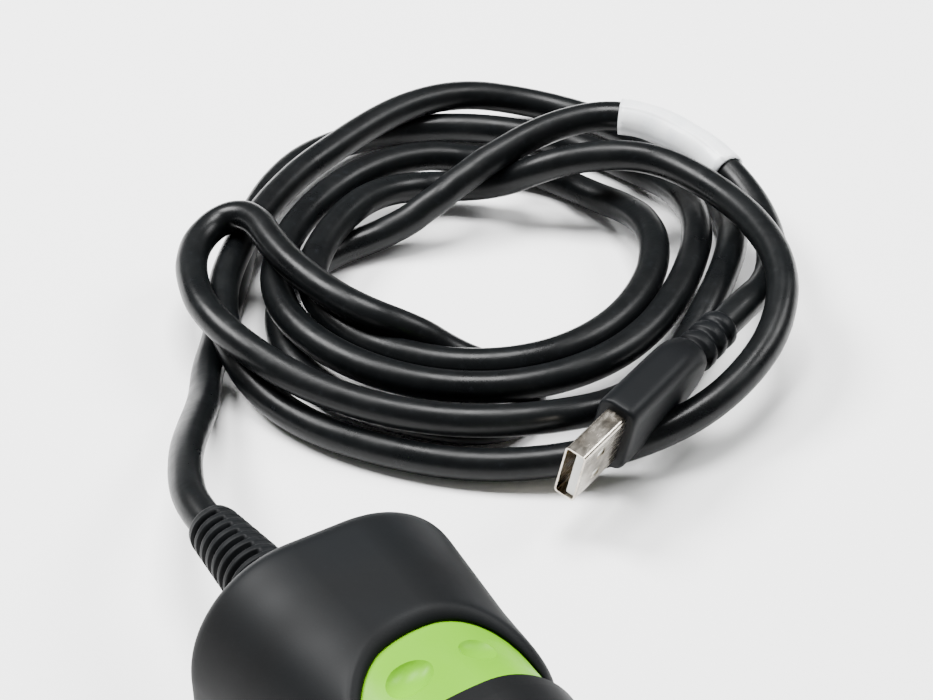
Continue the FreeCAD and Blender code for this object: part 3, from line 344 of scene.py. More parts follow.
@dataclass(frozen=True)
class ClearPane:
    """Acrylic or optical glass, smoked or clear, with a faint film of dust."""

    name: str
    tint: str
    rough: float = 0.05
    ior: float = 1.49

    def make(self) -> bpy.types.Material:
        """Build the material: transmission with a little uneven film."""
        s = Start(self.name)
        film = s.noise(8, 5.0)
        colour = s.ramp(film, ((0.3, linear(self.tint)), (0.9, linear(self.tint))))
        rough = s.spread(film, self.rough, self.rough + 0.08, 0.5, 0.8)
        return s.dress(colour, rough, None, IOR=self.ior, Transmission_Weight=0.9)


@dataclass(frozen=True)
class CoatedLabel:
    """Self-laminating vinyl wrap label: white, blank, clear film over it."""

    name: str
    base: str = "F1F3F4"
    shade: str = "DFE4E8"

    def make(self) -> bpy.types.Material:
        """Build the material: white vinyl with faint rubbing marks."""
        s = Start(self.name)
        colour = s.ramp(s.noise(5, 4.0), ((0.4, linear(self.base)), (0.75, linear(self.shade))))
        rubbed = s.mix(s.spread(s.noise(1.2, 5.0), 0.0, 0.4, 0.64, 0.74), colour,
                       linear("A9AEB2"))
        return s.dress(rubbed, s.spread(s.noise(4, 3.0), 0.3, 0.45),
                       s.bump(s.noise(3.5, 2.0), 0.06, 0.4), Coat_Weight=0.35,
                       Coat_Roughness=0.15)


@dataclass(frozen=True)
class SolderMask:
    """Fibreglass circuit board under green lacquer, with copper tracks showing through."""

    name: str
    base: str = "0E4A2A"
    track: str = "1D6E40"

    def make(self) -> bpy.types.Material:
        """Build the material: lacquer with a raised pattern of tracks."""
        s = Start(self.name)
        bricks = add(s.tree, "TexBrick", {"Scale": per_mm(9), "Mortar Size": 0.06,
                                          "Color1": (0, 0, 0, 1), "Color2": (0, 0, 0, 1),
                                          "Mortar": (1, 1, 1, 1)}, {"Vector": s.place})
        tracks = bricks.outputs["Color"]
        colour = s.ramp(tracks, ((0.2, linear(self.base)), (0.8, linear(self.track))))
        return s.dress(colour, s.spread(s.noise(3), 0.28, 0.4),
                       s.bump(tracks, 0.03, 0.6), IOR=1.52)


class Material(Enum):
    """Every finish on the scanner, by the piece or stuff that it is."""

    RUBBER = MouldedRubber("charcoal_rubber")
    SEAL = MouldedRubber("seal_rubber", "17181A", "1D1E20", "26282B", 0.5, 0.55, 0.7)
    SHELL = MouldedShell("lime_shell")
    JACKET = CordJacket("cord_jacket")
    BOOT = MouldedRubber("boot_rubber", "090A0B", "0E1012", "191C1F", 0.4, 0.46, 0.62)
    COVER = MouldedRubber("plug_cover", "08090B", "0D0F11", "16191C", 0.5, 0.38, 0.54)
    NICKEL = PlatedSteel("nickel_plate")
    STEEL = MachinedMetal("bright_steel", "A8A9AA", "8C8E90", 0.3)
    ALLOY = MachinedMetal("cast_alloy", "9A9B9D", "7E8083", 0.45)
    DARK_ALLOY = MachinedMetal("black_anodised_alloy", "1A1A1C", "242427", 0.4)
    TUNGSTEN = MachinedMetal("sintered_weight", "6A6A6C", "58585A", 0.45)
    GOLD = MachinedMetal("gold_flash", "D9B45A", "C29A44", 0.25)
    TRIGGER = PlainPlastic("trigger_plastic", "1C1D1F", "232527", 0.42)
    BLACK = PlainPlastic("black_nylon", "151617", "1D1E1F", 0.5)
    RED = PlainPlastic("plunger_acetal", "8E1B12", "7A160F", 0.35)
    WHITE = PlainPlastic("plug_insulator", "E6E6E2", "D8D8D2", 0.4)
    CHIP = PlainPlastic("chip_epoxy", "1B1B1D", "252527", 0.45, 0.2)
    AMBER = PlainPlastic("flex_polyimide", "B5651D", "9C5315", 0.3)
    LED = PlainPlastic("led_phosphor", "EDE3A0", "E3D27C", 0.3)
    CLEAR = ClearPane("clear_polycarbonate", "D9DEDF", 0.12, 1.58)
    SMOKED = ClearPane("smoked_window", "3A1416", 0.03, 1.49)
    OPTIC = ClearPane("coated_glass", "DCE6F2", 0.02, 1.52)
    PIPE = ClearPane("frosted_pipe", "E6EEEA", 0.35, 1.49)
    LABEL = CoatedLabel("blank_label")
    BOARD = SolderMask("solder_mask")


_made: dict[Material, bpy.types.Material] = {}


def finish_of(kind: Material) -> bpy.types.Material:
    """Give the one material of a kind, making it the first time."""
    if kind not in _made:
        _made[kind] = kind.value.make()
    return _made[kind]


# ---------------------------------------------------------------- where things are

@dataclass
class ScannerFrame:
    """The scanner's own frame, found from the trigger's and the motor weight's axes."""

    pivot: tuple[float, float, float] = (14, 0, 103)
    head_height: float = 132
    head_pitch: float = 10

    def __post_init__(self) -> None:
        """Work out the placement of the scanner and of its pitched head."""
        joints = {j["name"]: j for j in frame["joints"]}
        left = Vector(joints["trigger_pull"]["axis"]).normalized()
        up = Vector(joints["weight_spin"]["axis"]).normalized()
        forward = left.cross(up)
        turn = Matrix((forward, left, up)).transposed()
        origin = Vector(joints["trigger_pull"]["pos_m"]) - turn @ (Vector(self.pivot) * MM)
        self.handle = Matrix.Translation(origin) @ turn.to_4x4()
        pitch = Matrix.Rotation(math.radians(-self.head_pitch), 4, "Y")
        raised = Matrix.Translation(Vector((0, 0, self.head_height * MM)))
        self.head = self.handle @ raised @ pitch

    def point(self, x: float, y: float, z: float) -> Vector:
        """A point of the scanner's frame, in millimetres, as a place in metres."""
        return self.handle @ (Vector((x, y, z)) * MM)

    def way(self, x: float, y: float, z: float) -> Vector:
        """A direction of the scanner's frame."""
        return self.handle.to_3x3() @ Vector((x, y, z))


# ---------------------------------------------------------------- mesh helpers

def section_point(turn: float, half_x: float, half_y: float, corner: float
                  ) -> tuple[float, float]:
    """A point on a rounded rectangle, a share of the way round it.

    Args:
        turn: from 0 to 1, starting at the middle of the +x side.
        half_x: half the size along x.
        half_y: half the size along y.
        corner: corner radius.

    Returns:
        The point's x and y.
    """
    quarter = turn * 4 % 4
    number = int(quarter)
    share = quarter - number
    if number % 2:
        share = 1 - share
    corner = min(corner, half_x, half_y)
    if share < 0.3:
        x, y = half_x, (half_y - corner) * share / 0.3
    elif share > 0.7:
        x, y = (half_x - corner) * (1 - share) / 0.3, half_y
    else:
        angle = (share - 0.3) / 0.4 * math.pi / 2
        x = half_x - corner + corner * math.cos(angle)
        y = half_y - corner + corner * math.sin(angle)
    return (x if number in (0, 3) else -x), (y if number in (0, 1) else -y)


def skin(rings: Sequence[Sequence[Vector]], joined: bool = False) -> bmesh.types.BMesh:
    """Wrap a surface round a stack of rings.

    Args:
        rings: rings of equally many points, in millimetres.
        joined: whether the last ring meets the first, as on a hollow shell.

    Returns:
        A closed mesh in millimetres.
    """
    rows = list(rings) + ([rings[0]] if joined else [])
    columns = len(rows[0])
    mesh = bmesh.new()
    bmesh.ops.create_grid(mesh, x_segments=columns, y_segments=len(rows) - 1, size=1.0)
    for vert in mesh.verts:
        column = round((vert.co.x + 1) / 2 * columns) % columns
        row = round((vert.co.y + 1) / 2 * (len(rows) - 1))
        vert.co = rows[row][column]
    bmesh.ops.remove_doubles(mesh, verts=mesh.verts, dist=1e-5)
    open_edges = [edge for edge in mesh.edges if edge.is_boundary]
    if open_edges:
        bmesh.ops.holes_fill(mesh, edges=open_edges, sides=0)
    bmesh.ops.recalc_face_normals(mesh, faces=mesh.faces)
    return mesh


def piece(mesh: bmesh.types.BMesh, name: str, place: Matrix, finish: Material,
          replaces: Sequence[str]) -> bpy.types.Object:
    """Put a finished mesh where it belongs on the scanner's body.

    Args:
        mesh: the shape in millimetres.
        name: the piece's name.
        place: where its frame is.
        finish: its material.
        replaces: CAD nodes it stands for.

    Returns:
        The new object.
    """
    data = bpy.data.meshes.new(name)
    mesh.to_mesh(data)
    mesh.free()
    data.transform(place @ Matrix.Scale(MM, 4))
    data.shade_smooth()
    data.materials.append(finish_of(finish))
    made = bpy.data.objects.new(name, data)
    bpy.context.collection.objects.link(made)
    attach(made, "scanner")
    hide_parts(*replaces)
    log.info("%s: %d faces", name, len(data.polygons))
    return made


def subdivide(made: bpy.types.Object, levels: int) -> None:
    """Smooth a piece with a subdivision surface."""
    modifier = made.modifiers.new("Smooth", "SUBSURF")
    modifier.levels = levels
    modifier.render_levels = levels


def ease(share: float) -> float:
    """A smooth step from 0 to 1."""
    share = min(max(share, 0.0), 1.0)
    return share * share * (3 - 2 * share)


# ---------------------------------------------------------------- the lead

@dataclass
class Lead:
    """The black lead: strain relief, loose coil, blank label and computer plug."""

    scanner: ScannerFrame
    diameter: float = 6.6
    boot_length: float = 44
    straight: float = 7
    spine_turn: float = -28
    coil_centre: tuple[float, float] = (97, 61.5)
    plug_mouth: tuple[float, float] = (66.3, -15.5)
    plug_height: float = 15.3192
    plug_turn: float = 23
    plug_roll: float = 12
    plug_length: float = 55
    plug_run: tuple[float, ...] = (10, 4, -1)
    widest_step: float = 16
    columns: int = 64
    boot_columns: int = 96
    slot_pitch: float = 2.6
    slot_wide: float = 1.5
    slot_count: int = 9
    label_start: tuple[float, float, float] = (20, 47.0, 17.6)
    label_length: float = 29
    label_outside: float = 3.95
    label_inside: float = 3.4
    label_ripple: float = 0.12
    label_flap: float = 0.28
    flap_angle: float = 5.2
    flap_wide: float = 0.35
    run_out: list[tuple[float, float, float]] = field(default_factory=lambda: [
        (3, 16, -2.5), (8.5, 27, -6), (16, 38.5, -11), (23.5, 49.5, -16), (29.5, 60.5, -18.8)])

    def __post_init__(self) -> None:
        """Find the exit, the coil's centre and the plug's place."""
        self.exit = self.scanner.point(0, 0, -self.boot_length)
        self.exit_way = self.scanner.way(0, 0, -1)
        ground = Vector((self.exit.x, self.exit.y, 0))
        self.centre = ground + Vector((*self.coil_centre, 0)) * MM
        mouth = ground + Vector((*self.plug_mouth, self.plug_height)) * MM
        aim = Matrix.Rotation(math.radians(self.plug_turn), 4, "Z")
        roll = Matrix.Rotation(math.radians(self.plug_roll), 4, "X")
        self.plug = Matrix.Translation(mouth) @ aim @ roll

    def stations(self) -> list[tuple[float, float, float]]:
        """The coil's turns as angle in degrees, radius and height in millimetres.

        Returns:
            Stations from where the lead runs in to where it turns to the plug.
        """
        low, high = 3.4, 10.0
        turns = [(175, 62.4, 3.6), (166, 57.6, low), (156, 54, low), (146, 52.8, low),
                 (137, 53, 3.8), (128, 53.6, 4.8), (118, 54, 6), (107, 54.8, 6.4),
                 (96, 56, 5), (84, 56.5, 3.6)]
        # two full turns: beneath at the back and right, on top at the front and left
        first = (54.5, 52, 50.5, 49.5, 48.5, 46.5, 44.8, 43.2, 43.2, 44.8, 46.8, 48.4, 49.6,
                 50, 49.8, 49.4, 48.6, 46.4, 43, 40.4)
        second = (38.6, 37.6, 36, 35, 34.8, 35, 35.4, 35.8, 36.4, 37.8, 39.6, 41.2, 42.2,
                  42.8, 42.8, 42.2, 41, 38.6, 35, 32.4)
        angles = (66, 48, 30, 14, *range(0, -240, -15))
        lift = (low, low, low, 3.6, 6, 9, *[high] * 14)
        turns += list(zip(angles, first, lift))
        turns += [(-240, 38.6, high), (-255, 38, 9.8), (-270, 38, 9), (-284, 38.4, 7.4)]
        turns += [(angle - 360, radius, height) for angle, radius, height in
                  zip(angles, second, (5.2, 3.8, low, 3.8, 6, 8.6, *[high] * 14))]
        # out from under the crossing and round on top of everything at the right
        outer = [(120, 31, 9.8), (106, 30.6, 8.4), (93, 30.2, 6.8), (80, 29, 5.6),
                 (68, 27.2, 5.6), (56, 25.4, 7.2), (44, 24, 10), (32, 24.4, 13.4),
                 (20, 27.2, 16), (10, 31.8, 17.4), (2, 37, 18), (-7, 42, 18.2),
                 (-19, 46.8, 18.4), (-32, 52.8, 18.8), (-42, 58, 19), (-50, 62.4, 18.8),
                 (-58, 66, 17.4), (-67, 68.8, 15.2), (-76, 70, 12.8), (-85, 70.6, 10.6),
                 (-94, 70, 8.6), (-103, 68.6, 6.6), (-113, 66.8, 4.8), (-124, 65.4, 3.6),
                 (-136, 64.4, low), (-150, 64, low), (-161, 63.6, 3.6), (-170, 62.8, 4.8),
                 (-177, 62, 7), (-184, 60.6, 9.2)]
        turns += [(angle - 720, radius, height) for angle, radius, height in outer]
        # up the back and down at the right
        back = [(169, 58.4, high), (162, 56, 10.2), (154, 53.4, 10.2), (146, 51.4, 10.2),
                (137, 49.6, high), (127, 48.6, high), (114, 48.4, high), (101, 49, high),
                (90, 51.4, high), (80, 54.6, high), (70, 57.8, 9.6), (61, 60.8, 8),
                (52, 62.6, 5.6), (42, 63, 4), (30, 62, low), (16, 60, low), (3, 58, low),
                (-10, 55.8, 4.4), (-22, 53.6, 7), (-34, 51.6, 9.4), (-47, 50.2, high),
                (-60, 50.4, 9.4), (-72, 51.8, 7.4)]
        turns += [(angle - 1080, radius, height) for angle, radius, height in back]
        # the big loop at the left and the fold at its end
        loop = [(276, 54.2, 6.4), (264, 57, 7.4), (253, 59, 9.4), (241, 59.8, high),
                (229, 60, high), (217, 60, high), (206, 60.4, 10.4), (197, 61.4, 11.4),
                (189, 62.6, 12.8), (181, 63.8, 13.8), (173, 64.2, 14.2), (166, 63.4, 14.2),
                (160, 62.6, 14.2), (153.5, 60.6, 14.4), (148.5, 56.6, 15.4), (148, 51.8, 17),
                (152.5, 48, 17.8), (160, 46.2, 17.6), (171, 44.2, 17.2), (183, 42.6, 17),
                (194, 41.8, 16.8), (203, 40.8, 16), (210.5, 38.6, 14), (217, 36.2, 11)]
        turns += [(angle - 1440, radius, height) for angle, radius, height in loop]
        # beneath the front strands, where it turns back
        under = [(222, 34.8, 8), (229, 34, 5.2), (236.5, 34.6, 3.8), (243.5, 37.6, low),
                 (248, 42.6, low), (248.5, 48, low), (244, 52.4, low), (236.5, 54.4, low),
                 (227, 54.2, low), (215, 53.6, low), (204, 53.2, low), (193, 52, low),
                 (182, 50, low), (171, 47, low), (160, 43, low), (149, 38.2, low),
                 (138, 32.6, low)]
        turns += [(angle - 1440, radius, height) for angle, radius, height in under]
        # across the ring, through the label and down to the plug
        out = [(126, 26, 4), (112, 20.6, 6.8), (92, 18.4, 10.4), (70, 20.2, 13.2),
               (53, 25, 15), (41, 31.6, 16.4), (32, 38.4, 17.2), (23, 45.6, 17.6),
               (13, 49.8, 17.6), (1, 52.4, 17), (-10, 55, 15.6), (-21, 57.6, 13.6),
               (-32, 59.4, 12.2), (-42, 60.2, 11.8), (-51, 60, 12.6)]
        turns += [(angle - 1440, radius, height) for angle, radius, height in out]
        return turns

    def route(self) -> list[Vector]:
        """Control points of the whole lead, from the strain relief's tip to the plug.

        Returns:
            Points in metres.
        """
        points = [self.exit, self.exit + self.exit_way * self.straight * MM]
        points += [self.exit + Vector(step) * MM for step in self.run_out]
        stations = self.stations()
        for here, after in zip(stations, stations[1:] + stations[-1:]):
            points.append(self.around(*here))
            if abs(after[0] - here[0]) > self.widest_step:
                points.append(self.around(*[(a + b) / 2 for a, b in zip(here, after)]))
        rear = self.plug.translation
        along = (self.plug.to_3x3() @ Vector((1, 0, 0))).normalized()
        for past in self.plug_run:
            points.append(rear + along * (self.plug_length + past) * MM)
        return points

    def around(self, angle: float, radius: float, height: float) -> Vector:
        """A point of the coil, from its angle, radius and height."""
        turn = math.radians(angle)
        flat = Vector((math.cos(turn), math.sin(turn), 0)) * radius
        return self.centre + (flat + Vector((0, 0, height))) * MM

    def spline(self, points: Sequence[Vector]) -> bpy.types.Object:
        """A curve object along control points."""
        data = bpy.data.curves.new("lead_cord", "CURVE")
        data.dimensions = "3D"
        line = data.splines.new("NURBS")
        line.points.add(len(points) - 1)
        for spot, point in zip(line.points, points):
            spot.co = (*point, 1.0)
        line.order_u = 3
        line.use_endpoint_u = True
        data.resolution_u = 6
        made = bpy.data.objects.new("lead_cord", data)
        bpy.context.collection.objects.link(made)
        return made

    def centreline(self, cord: bpy.types.Object) -> list[Vector]:
        """Points along the curve's own smooth line."""
        data = bpy.data.meshes.new_from_object(cord)
        line = [v.co.copy() for v in data.vertices]
        bpy.data.meshes.remove(data)
        return line

    def build(self) -> None:
        """Make the lead and everything on it."""
        cord = self.spline(self.route())
        line = self.centreline(cord)
        cord.data.bevel_depth = self.diameter / 2 * MM
        cord.data.bevel_resolution = 6
        cord.data.use_fill_caps = True
        cord.data.materials.append(finish_of(Material.JACKET))
        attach(cord, "scanner")
        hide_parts("cord_lead", "cord_coil")
        boot = self.boot()
        label = self.label(line)
        cover = self.cover()

    def boot(self) -> bpy.types.Object:
        """The slotted strain relief at the handle's foot."""
        first = -self.boot_length + 2.2
        top = first + self.slot_pitch * self.slot_count + 0.5
        outline = [(3.3, 1.8), (7, 2), (7, -8), (7, -12), (6.95, -16)]
        steps = 130
        for step in range(steps + 1):
            share = step / steps
            z = top + (first - 0.4 - top) * share
            outline.append((6.9 - 2.1 * share, z))
        outline += [(4.7, -42.9), (4.5, -43.5), (4.1, -43.9), (3.7, -44), (3.34, -44),
                    (3.34, -42)]
        rings = []
        for radius, z in outline:
            ring = []
            for column in range(self.boot_columns):
                angle = 2 * math.pi * column / self.boot_columns
                reach = radius - self.slot_inset(radius, z, angle, first)
                ring.append(Vector((reach * math.cos(angle), reach * math.sin(angle), z)))
            rings.append(ring)
        mesh = skin(rings, joined=True)
        return piece(mesh, "slotted_boot", self.scanner.handle, Material.BOOT,
                     replaces=["cord_boot"])

    def slot_inset(self, radius: float, z: float, angle: float, first: float) -> float:
        """How far the strain relief's surface is cut in at a place.

        Args:
            radius: the strain relief's own radius there.
            z: the place along it.
            angle: the place round it, in radians.
            first: where the first slot starts.

        Returns:
            Depth in millimetres, negative where a rib swells.
        """
        along = (z - first) / self.slot_pitch
        if radius < 4.2 or not -0.1 < along < self.slot_count:
            return 0.0
        share = along - math.floor(along)
        open_share = self.slot_wide / self.slot_pitch
        across = ease(min(share, open_share - share) / 0.12) if share < open_share else 0.0
        side = abs(math.cos(angle - math.radians(self.spine_turn)))
        depth = min(2.0, radius - 3.5)
        return depth * across * ease((side - 0.36) / 0.14) - 0.10 * (1 - across)

    def label(self, line: Sequence[Vector]) -> bpy.types.Object:
        """The blank label wrapped round the lead where it crosses over the coil."""
        start = self.around(*self.label_start)
        nearest = min(range(len(line)), key=lambda i: (line[i] - start).length)
        path = [line[nearest]]
        run = 0.0
        index = nearest
        while run < self.label_length * MM:
            run += (line[index + 1] - line[index]).length
            index += 1
            path.append(line[index])
        rings = []
        previous = None
        for number, spot in enumerate(path):
            way = (path[min(number + 1, len(path) - 1)] - path[max(number - 1, 0)]).normalized()
            side = way.cross(Vector((0, 0, 1))).normalized() if previous is None else (
                previous - way * previous.dot(way)).normalized()
            previous = side
            lift = way.cross(side)
            ring = []
            for column in range(self.columns):
                angle = 2 * math.pi * column / self.columns
                ripple = self.label_ripple * math.sin(number * 0.9 + angle * 2) * 0.5
                radius = self.label_outside + ripple
                if angle < self.flap_angle:
                    away = abs(angle - self.flap_angle) / self.flap_wide
                    radius += self.label_flap * (1 - ease(away))
                ring.append(spot / MM + (side * math.cos(angle) + lift * math.sin(angle)) * radius)
            rings.append(ring)
        inner = [[centre / MM + (p - centre / MM).normalized() * self.label_inside
                  for p in ring] for centre, ring in zip(path, rings)]
        mesh = skin(rings + inner[::-1], joined=True)
        return piece(mesh, "wrap_label", Matrix(), Material.LABEL, replaces=["cord_label"])

    def cover(self) -> list[bpy.types.Object]:
        """The plug's moulded cover and its three-ring strain relief."""
        stations = [(13.9, 2.3, 6.1, 0.8), (13.9, 3.6, 7.3, 2.0), (14.0, 4.0, 7.7, 2.4),
                    (14.5, 4.25, 7.95, 2.6), (16, 4.3, 8.0, 2.7), (24, 4.3, 8.0, 2.7),
                    (32, 4.3, 8.0, 2.8), (35, 4.3, 7.9, 3.0), (38, 4.3, 7.3, 3.4),
                    (40.5, 4.25, 6.2, 3.8), (42.2, 4.1, 5.0, 4.0), (43, 3.7, 4.1, 3.6)]
        rings = []
        for x, thick, wide, corner in stations:
            ring = [section_point(c / self.columns, thick, wide, corner)
                    for c in range(self.columns)]
            rings.append([Vector((x, y, z)) for y, z in ring])
        cover = piece(skin(rings), "plug_cover", self.plug, Material.COVER,
                      replaces=["usb_overmould"])
        subdivide(cover, 1)
        outline = [(42.6, 3.3), (42.6, 3.6)]
        for ring_number in range(3):
            start = 43 + 4 * ring_number
            big = 4.3 - 0.12 * ring_number
            outline += [(start + 0.5, 3.5), (start + 0.9, 3.6), (start + 1.15, big - 0.15),
                        (start + 1.5, big), (start + 3.1, big), (start + 3.5, big - 0.15),
                        (start + 3.75, 3.6)]
        outline += [(54.9, 3.5), (55, 3.3)]
        rings = []
        for x, radius in outline:
            ring = []
            for column in range(self.columns):
                angle = 2 * math.pi * column / self.columns
                ring.append(Vector((x, radius * math.cos(angle), radius * math.sin(angle))))
            rings.append(ring)
        relief = piece(skin(rings), "plug_relief", self.plug, Material.COVER,
                       replaces=["usb_strain_relief"])
        return [cover, relief]


# ---------------------------------------------------------------- handle

@dataclass
class Handle:
    """The rubber boot of the handle's foot."""

    scanner: ScannerFrame
    columns: int = 144
    round_share: float = 0.38
    band_x: float = 3
    crescent_radius: float = 21
    crescent_z: float = 45.7
    foot_top: float = 44
    middle_z: float = 22
    outside: list[tuple[float, float, float]] = field(default_factory=lambda: [
        (0, 25, 26), (22, 22, 24.5), (44, 21, 23)])

    def half(self, z: float) -> tuple[float, float]:
        """Half depth and half width at a height."""
        rows = self.outside
        if z <= rows[0][0]:
            return rows[0][1], rows[0][2]
        for low, high in zip(rows, rows[1:]):
            if z <= high[0]:
                share = (z - low[0]) / (high[0] - low[0])
                return (low[1] + (high[1] - low[1]) * share,
                        low[2] + (high[2] - low[2]) * share)
        return rows[-1][1], rows[-1][2]

    def foot_edge(self, x: float) -> float:
        """Height of the foot rubber's crescent edge at a distance along the side."""
        inside = max(self.crescent_radius ** 2 - (x - self.band_x) ** 2, 0.0)
        return min(self.crescent_z - math.sqrt(inside), self.foot_top)

    def ring(self, height: Callable[[float], float], grow: float = 0.0) -> list[Vector]:
        """One ring of the foot's outside whose height may differ round the handle.

        Args:
            height: height at a distance along the side.
            grow: distance outwards from the surface.

        Returns:
            The ring's points in millimetres.
        """
        points = []
        for column in range(self.columns):
            turn = column / self.columns
            a, b = self.half(self.middle_z)
            x, _ = section_point(turn, a, b, 2 * min(a, b) * self.round_share)
            z = height(x)
            a, b = self.half(z)
            corner = 2 * min(a, b) * self.round_share + grow
            x, y = section_point(turn, a + grow, b + grow, corner)
            points.append(Vector((x, y, z)))
        return points

    def level(self, z: float, half_x: float, half_y: float, round_share: float
              ) -> list[Vector]:
        """One flat ring."""
        corner = 2 * min(half_x, half_y) * round_share
        flat = [section_point(c / self.columns, half_x, half_y, corner)
                for c in range(self.columns)]
        return [Vector((x, y, z)) for x, y in flat]

    def foot(self) -> bpy.types.Object:
        """The rubber boot of the foot: domed end, crescent edge with a rounded lip."""
        port = 7.1
        rings = [self.level(-3, port, port, 0.5), self.level(-6.4, port, port, 0.5),
                 self.level(-6.9, port + 0.4, port + 0.4, 0.5)]
        deep, wide = self.outside[0][1:]
        dome_steps = 11
        for step in range(dome_steps + 1):
            lean = math.pi / 2 * step / dome_steps
            share = math.sin(lean)
            rings.append(self.level(-7 * math.cos(lean), 10 + (deep - 10) * share,
                                    10.5 + (wide - 10.5) * share, 0.44 - 0.06 * share))
        rows = 16
        for row in range(1, rows + 1):
            share = row / rows
            rings.append(self.ring(lambda x, s=share: (self.foot_edge(x) - 2.6) * s))
        lip = ((-0.12, -1.9), (-0.40, -1.3), (-0.80, -0.75), (-1.25, -0.3), (-1.75, 0.0),
               (-2.4, -0.1))
        for grow, rise in lip:
            rings.append(self.ring(lambda x, r=rise: self.foot_edge(x) + r, grow))
        rings.append(self.ring(lambda x: 4.0, -3.6))
        rings += [self.level(-2.9, 20, 20, 0.38), self.level(-3, 12, 12, 0.44)]
        made = piece(skin(rings, joined=True), "foot_rubber", self.scanner.handle,
                     Material.RUBBER, replaces=["foot_boot"])
        subdivide(made, 1)
        return made

    def build(self) -> None:
        """Make the foot's rubber, the one piece of the handle that is remade."""
        self.foot()


# ---------------------------------------------------------------- head

@dataclass
class Bumpers:
    """The rubber bumpers round the nose and the back of the head, in the head's frame."""

    scanner: ScannerFrame
    columns: int = 128
    groove: float = 0.5
    groove_wide: float = 1.4
    groove_pitch: float = 4.5

    def ring(self, x: float, half_wide: float, half_tall: float, corner: float
             ) -> list[Vector]:
        """One rounded rectangle across the head."""
        flat = [section_point(c / self.columns, half_wide, half_tall, corner)
                for c in range(self.columns)]
        return [Vector((x, y, z)) for y, z in flat]

    def edge(self, start: float, way: int, half: tuple[float, float], corner: float,
             depth: float, steps: int = 7) -> list[list[Vector]]:
        """A rounded edge, from the end face out to the side.

        Args:
            start: place of the end face.
            way: 1 if the bumper lies towards +x from that face, -1 if towards -x.
            half: half width and half height of the bumper's side.
            corner: corner radius of the bumper's side.
            depth: radius of the rounded edge.
            steps: rings in it.

        Returns:
            Rings from the end face to the side.
        """
        rings = []
        for step in range(steps + 1):
            lean = math.pi / 2 * step / steps
            inset = depth * (1 - math.sin(lean))
            x = start + way * depth * (1 - math.cos(lean))
            rings.append(self.ring(x, half[0] - inset, half[1] - inset, corner - inset * 0.5))
        return rings

    def grooves(self, start: float, count: int, half: tuple[float, float], corner: float
                ) -> list[list[Vector]]:
        """Shallow grooves round a bumper, towards +x."""
        rings = []
        for number in range(count):
            x = start + number * self.groove_pitch
            for step, inset in ((0, 0), (0.25, self.groove), (0.75, self.groove), (1, 0)):
                rings.append(self.ring(x + step * self.groove_wide, half[0] - inset,
                                       half[1] - inset, corner))
        return rings

    def nose(self) -> None:
        """The nose bumper, open in the middle for the window."""
        half, corner = (36, 33), 20
        rings = [self.ring(49.5, 29.4, 24.9, 17), self.ring(48, 29.8, 25.3, 17.2)]
        rings += self.edge(48, 1, half, corner, 4.2)
        rings += self.grooves(58, 3, half, corner)
        rings += self.edge(82, -1, half, corner, 5.5)[::-1]
        rings += [self.ring(82, 28.6, 20.6, 9), self.ring(81.7, 27.4, 19.4, 8.2),
                  self.ring(81, 26.9, 18.9, 7.8), self.ring(77, 25, 17, 6),
                  self.ring(76.4, 25, 17, 6), self.ring(76.2, 29.4, 24.9, 17)]
        piece(skin(rings, joined=True), "nose_rubber", self.scanner.head, Material.RUBBER,
              replaces=["nose_bumper"])

    def tail(self) -> None:
        """The cup-shaped bumper round the back of the head."""
        half, corner = (36, 30), 20
        rings = [self.ring(-48, 4, 4, 4), self.ring(-48, 20, 14, 10)]
        rings += self.edge(-48, 1, half, corner, 7)
        rings += self.grooves(-36, 3, half, corner)
        rings += self.edge(-12, -1, half, corner, 4.2)[::-1]
        rings += [self.ring(-12, 29.8, 25.3, 17.2), self.ring(-13, 29.5, 25, 17),
                  self.ring(-28, 29.5, 25, 17), self.ring(-42, 25.5, 21, 15),
                  self.ring(-42.1, 4, 4, 4)]
        piece(skin(rings), "rear_rubber", self.scanner.head, Material.RUBBER,
              replaces=["rear_bumper"])

    def build(self) -> None:
        """Make both bumpers."""
        self.nose()
        self.tail()


# ---------------------------------------------------------------- studio

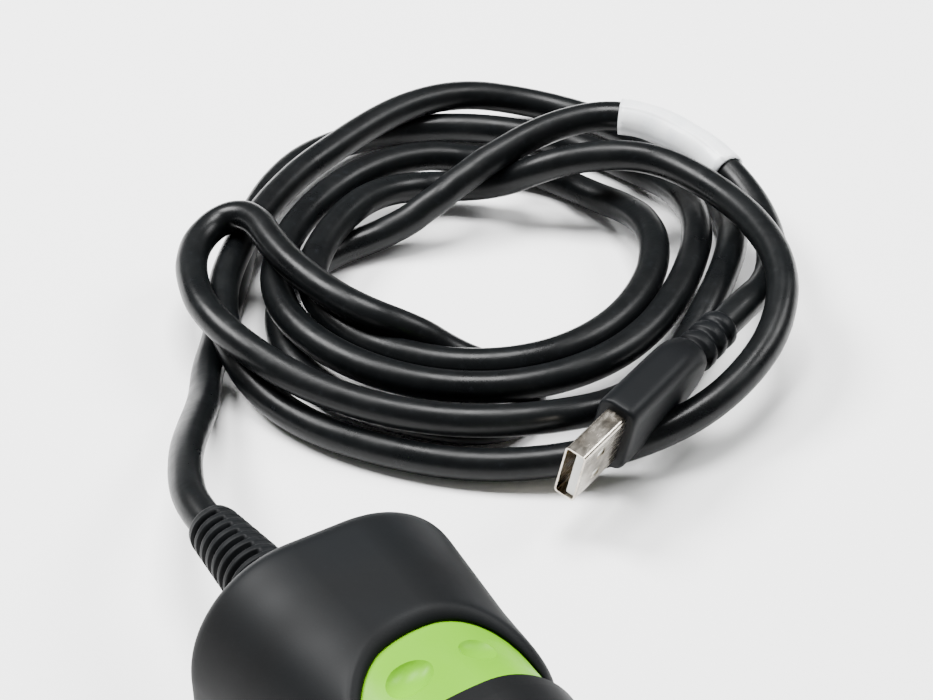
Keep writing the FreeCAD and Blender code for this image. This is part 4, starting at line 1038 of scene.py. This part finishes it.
@dataclass
class Studio:
    """Plain pale floor, soft lights and the camera."""

    lead: Lead
    lens: float = 100.3
    eye: tuple[float, float, float] = (-143.3, -314.8, 330)
    aim: tuple[float, float] = (80.3, 43.0)
    sky: float = 0.22
    lamps: tuple[tuple[str, tuple[float, float, float], float, float], ...] = (
        ("key", (-0.45, 0.85, 1.1), 0.5, 42),
        ("fill", (1.0, -0.1, 1.0), 0.5, 16),
        ("top", (0.15, 0.35, 1.4), 0.6, 44))

    def camera(self) -> None:
        """Look down at the foot and the coil from the head's end."""
        ground = Vector((self.lead.exit.x, self.lead.exit.y, 0))
        eye = ground + Vector(self.eye) * MM
        target = ground + Vector((*self.aim, 0)) * MM
        data = bpy.data.cameras.new("camera")
        data.lens = self.lens
        data.sensor_width = 36
        data.clip_start = 0.01
        made = bpy.data.objects.new("camera", data)
        made.location = eye
        made.rotation_euler = (target - eye).to_track_quat("-Z", "Y").to_euler()
        bpy.context.collection.objects.link(made)
        bpy.context.scene.camera = made

    def lamp(self, name: str, place: tuple[float, float, float], size: float,
             power: float) -> None:
        """A square soft light aimed at the middle of the object."""
        data = bpy.data.lights.new(name, "AREA")
        data.energy = power
        data.size = size
        made = bpy.data.objects.new(name, data)
        made.location = place
        middle = Vector((0.03, 0.08, 0.02))
        made.rotation_euler = (middle - Vector(place)).to_track_quat("-Z", "Y").to_euler()
        bpy.context.collection.objects.link(made)

    def build(self) -> None:
        """Set up the floor, the sky and the lights."""
        mesh = bmesh.new()
        bmesh.ops.create_grid(mesh, x_segments=1, y_segments=1, size=6.0)
        data = bpy.data.meshes.new("floor")
        mesh.to_mesh(data)
        mesh.free()
        floor = bpy.data.objects.new("floor", data)
        floor.location.z = -0.0003
        bpy.context.collection.objects.link(floor)
        s = Start("floor_paper")
        tone = s.ramp(s.noise(300, 2.0), ((0.3, linear("FCFCFC")), (0.7, linear("FEFEFE"))))
        data.materials.append(s.dress(tone, 0.85))
        world = bpy.data.worlds.new("studio")
        world.use_nodes = True
        sky = world.node_tree.nodes["Background"]
        sky.inputs["Color"].default_value = (1, 1, 1, 1)
        sky.inputs["Strength"].default_value = self.sky
        bpy.context.scene.world = world
        for name, place, size, power in self.lamps:
            self.lamp(name, place, size, power)


# ---------------------------------------------------------------- CAD pieces kept

KEPT = {
    Material.SHELL: ("left_housing", "right_housing"),
    Material.SEAL: ("parting_seal", "window_seal", "port_seal"),
    Material.RUBBER: ("grip_sleeve",),
    Material.SMOKED: ("exit_window",),
    Material.TRIGGER: ("trigger",),
    Material.STEEL: ("trigger_pin", "handle_screws", "head_screws", "trigger_spring",
                     "vibration_motor"),
    Material.BLACK: ("switch_body", "cord_socket", "motor_cradle", "beeper"),
    Material.RED: ("switch_plunger",),
    Material.BOARD: ("main_board", "handle_board"),
    Material.CHIP: ("board_components", "image_sensor"),
    Material.ALLOY: ("engine_chassis",),
    Material.DARK_ALLOY: ("lens_barrel",),
    Material.OPTIC: ("camera_lens", "aiming_lens"),
    Material.LED: ("illumination_leds", "status_led"),
    Material.AMBER: ("engine_flex",),
    Material.PIPE: ("status_lens",),
    Material.TUNGSTEN: ("vibration_weight",),
    Material.CLEAR: ("cord_plug_body",),
    Material.NICKEL: ("usb_shell",),
    Material.GOLD: ("usb_contacts",),
    Material.WHITE: ("usb_insulator",),
}


def dress_kept() -> None:
    """Give the CAD pieces that stay their finishes."""
    for kind, names in KEPT.items():
        for name in names:
            node = frame["nodes"][name]
            node.data.materials.clear()
            node.data.materials.append(finish_of(kind))


def main() -> None:
    """Build everything in order."""
    logging.basicConfig(level=logging.INFO, format="%(name)s: %(message)s")
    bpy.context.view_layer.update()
    scanner = ScannerFrame()
    lead = Lead(scanner)
    studio = Studio(lead)
    studio.camera()
    lead.build()
    Handle(scanner).build()
    Bumpers(scanner).build()
    dress_kept()
    studio.build()


if __name__ == "__main__":
    main()
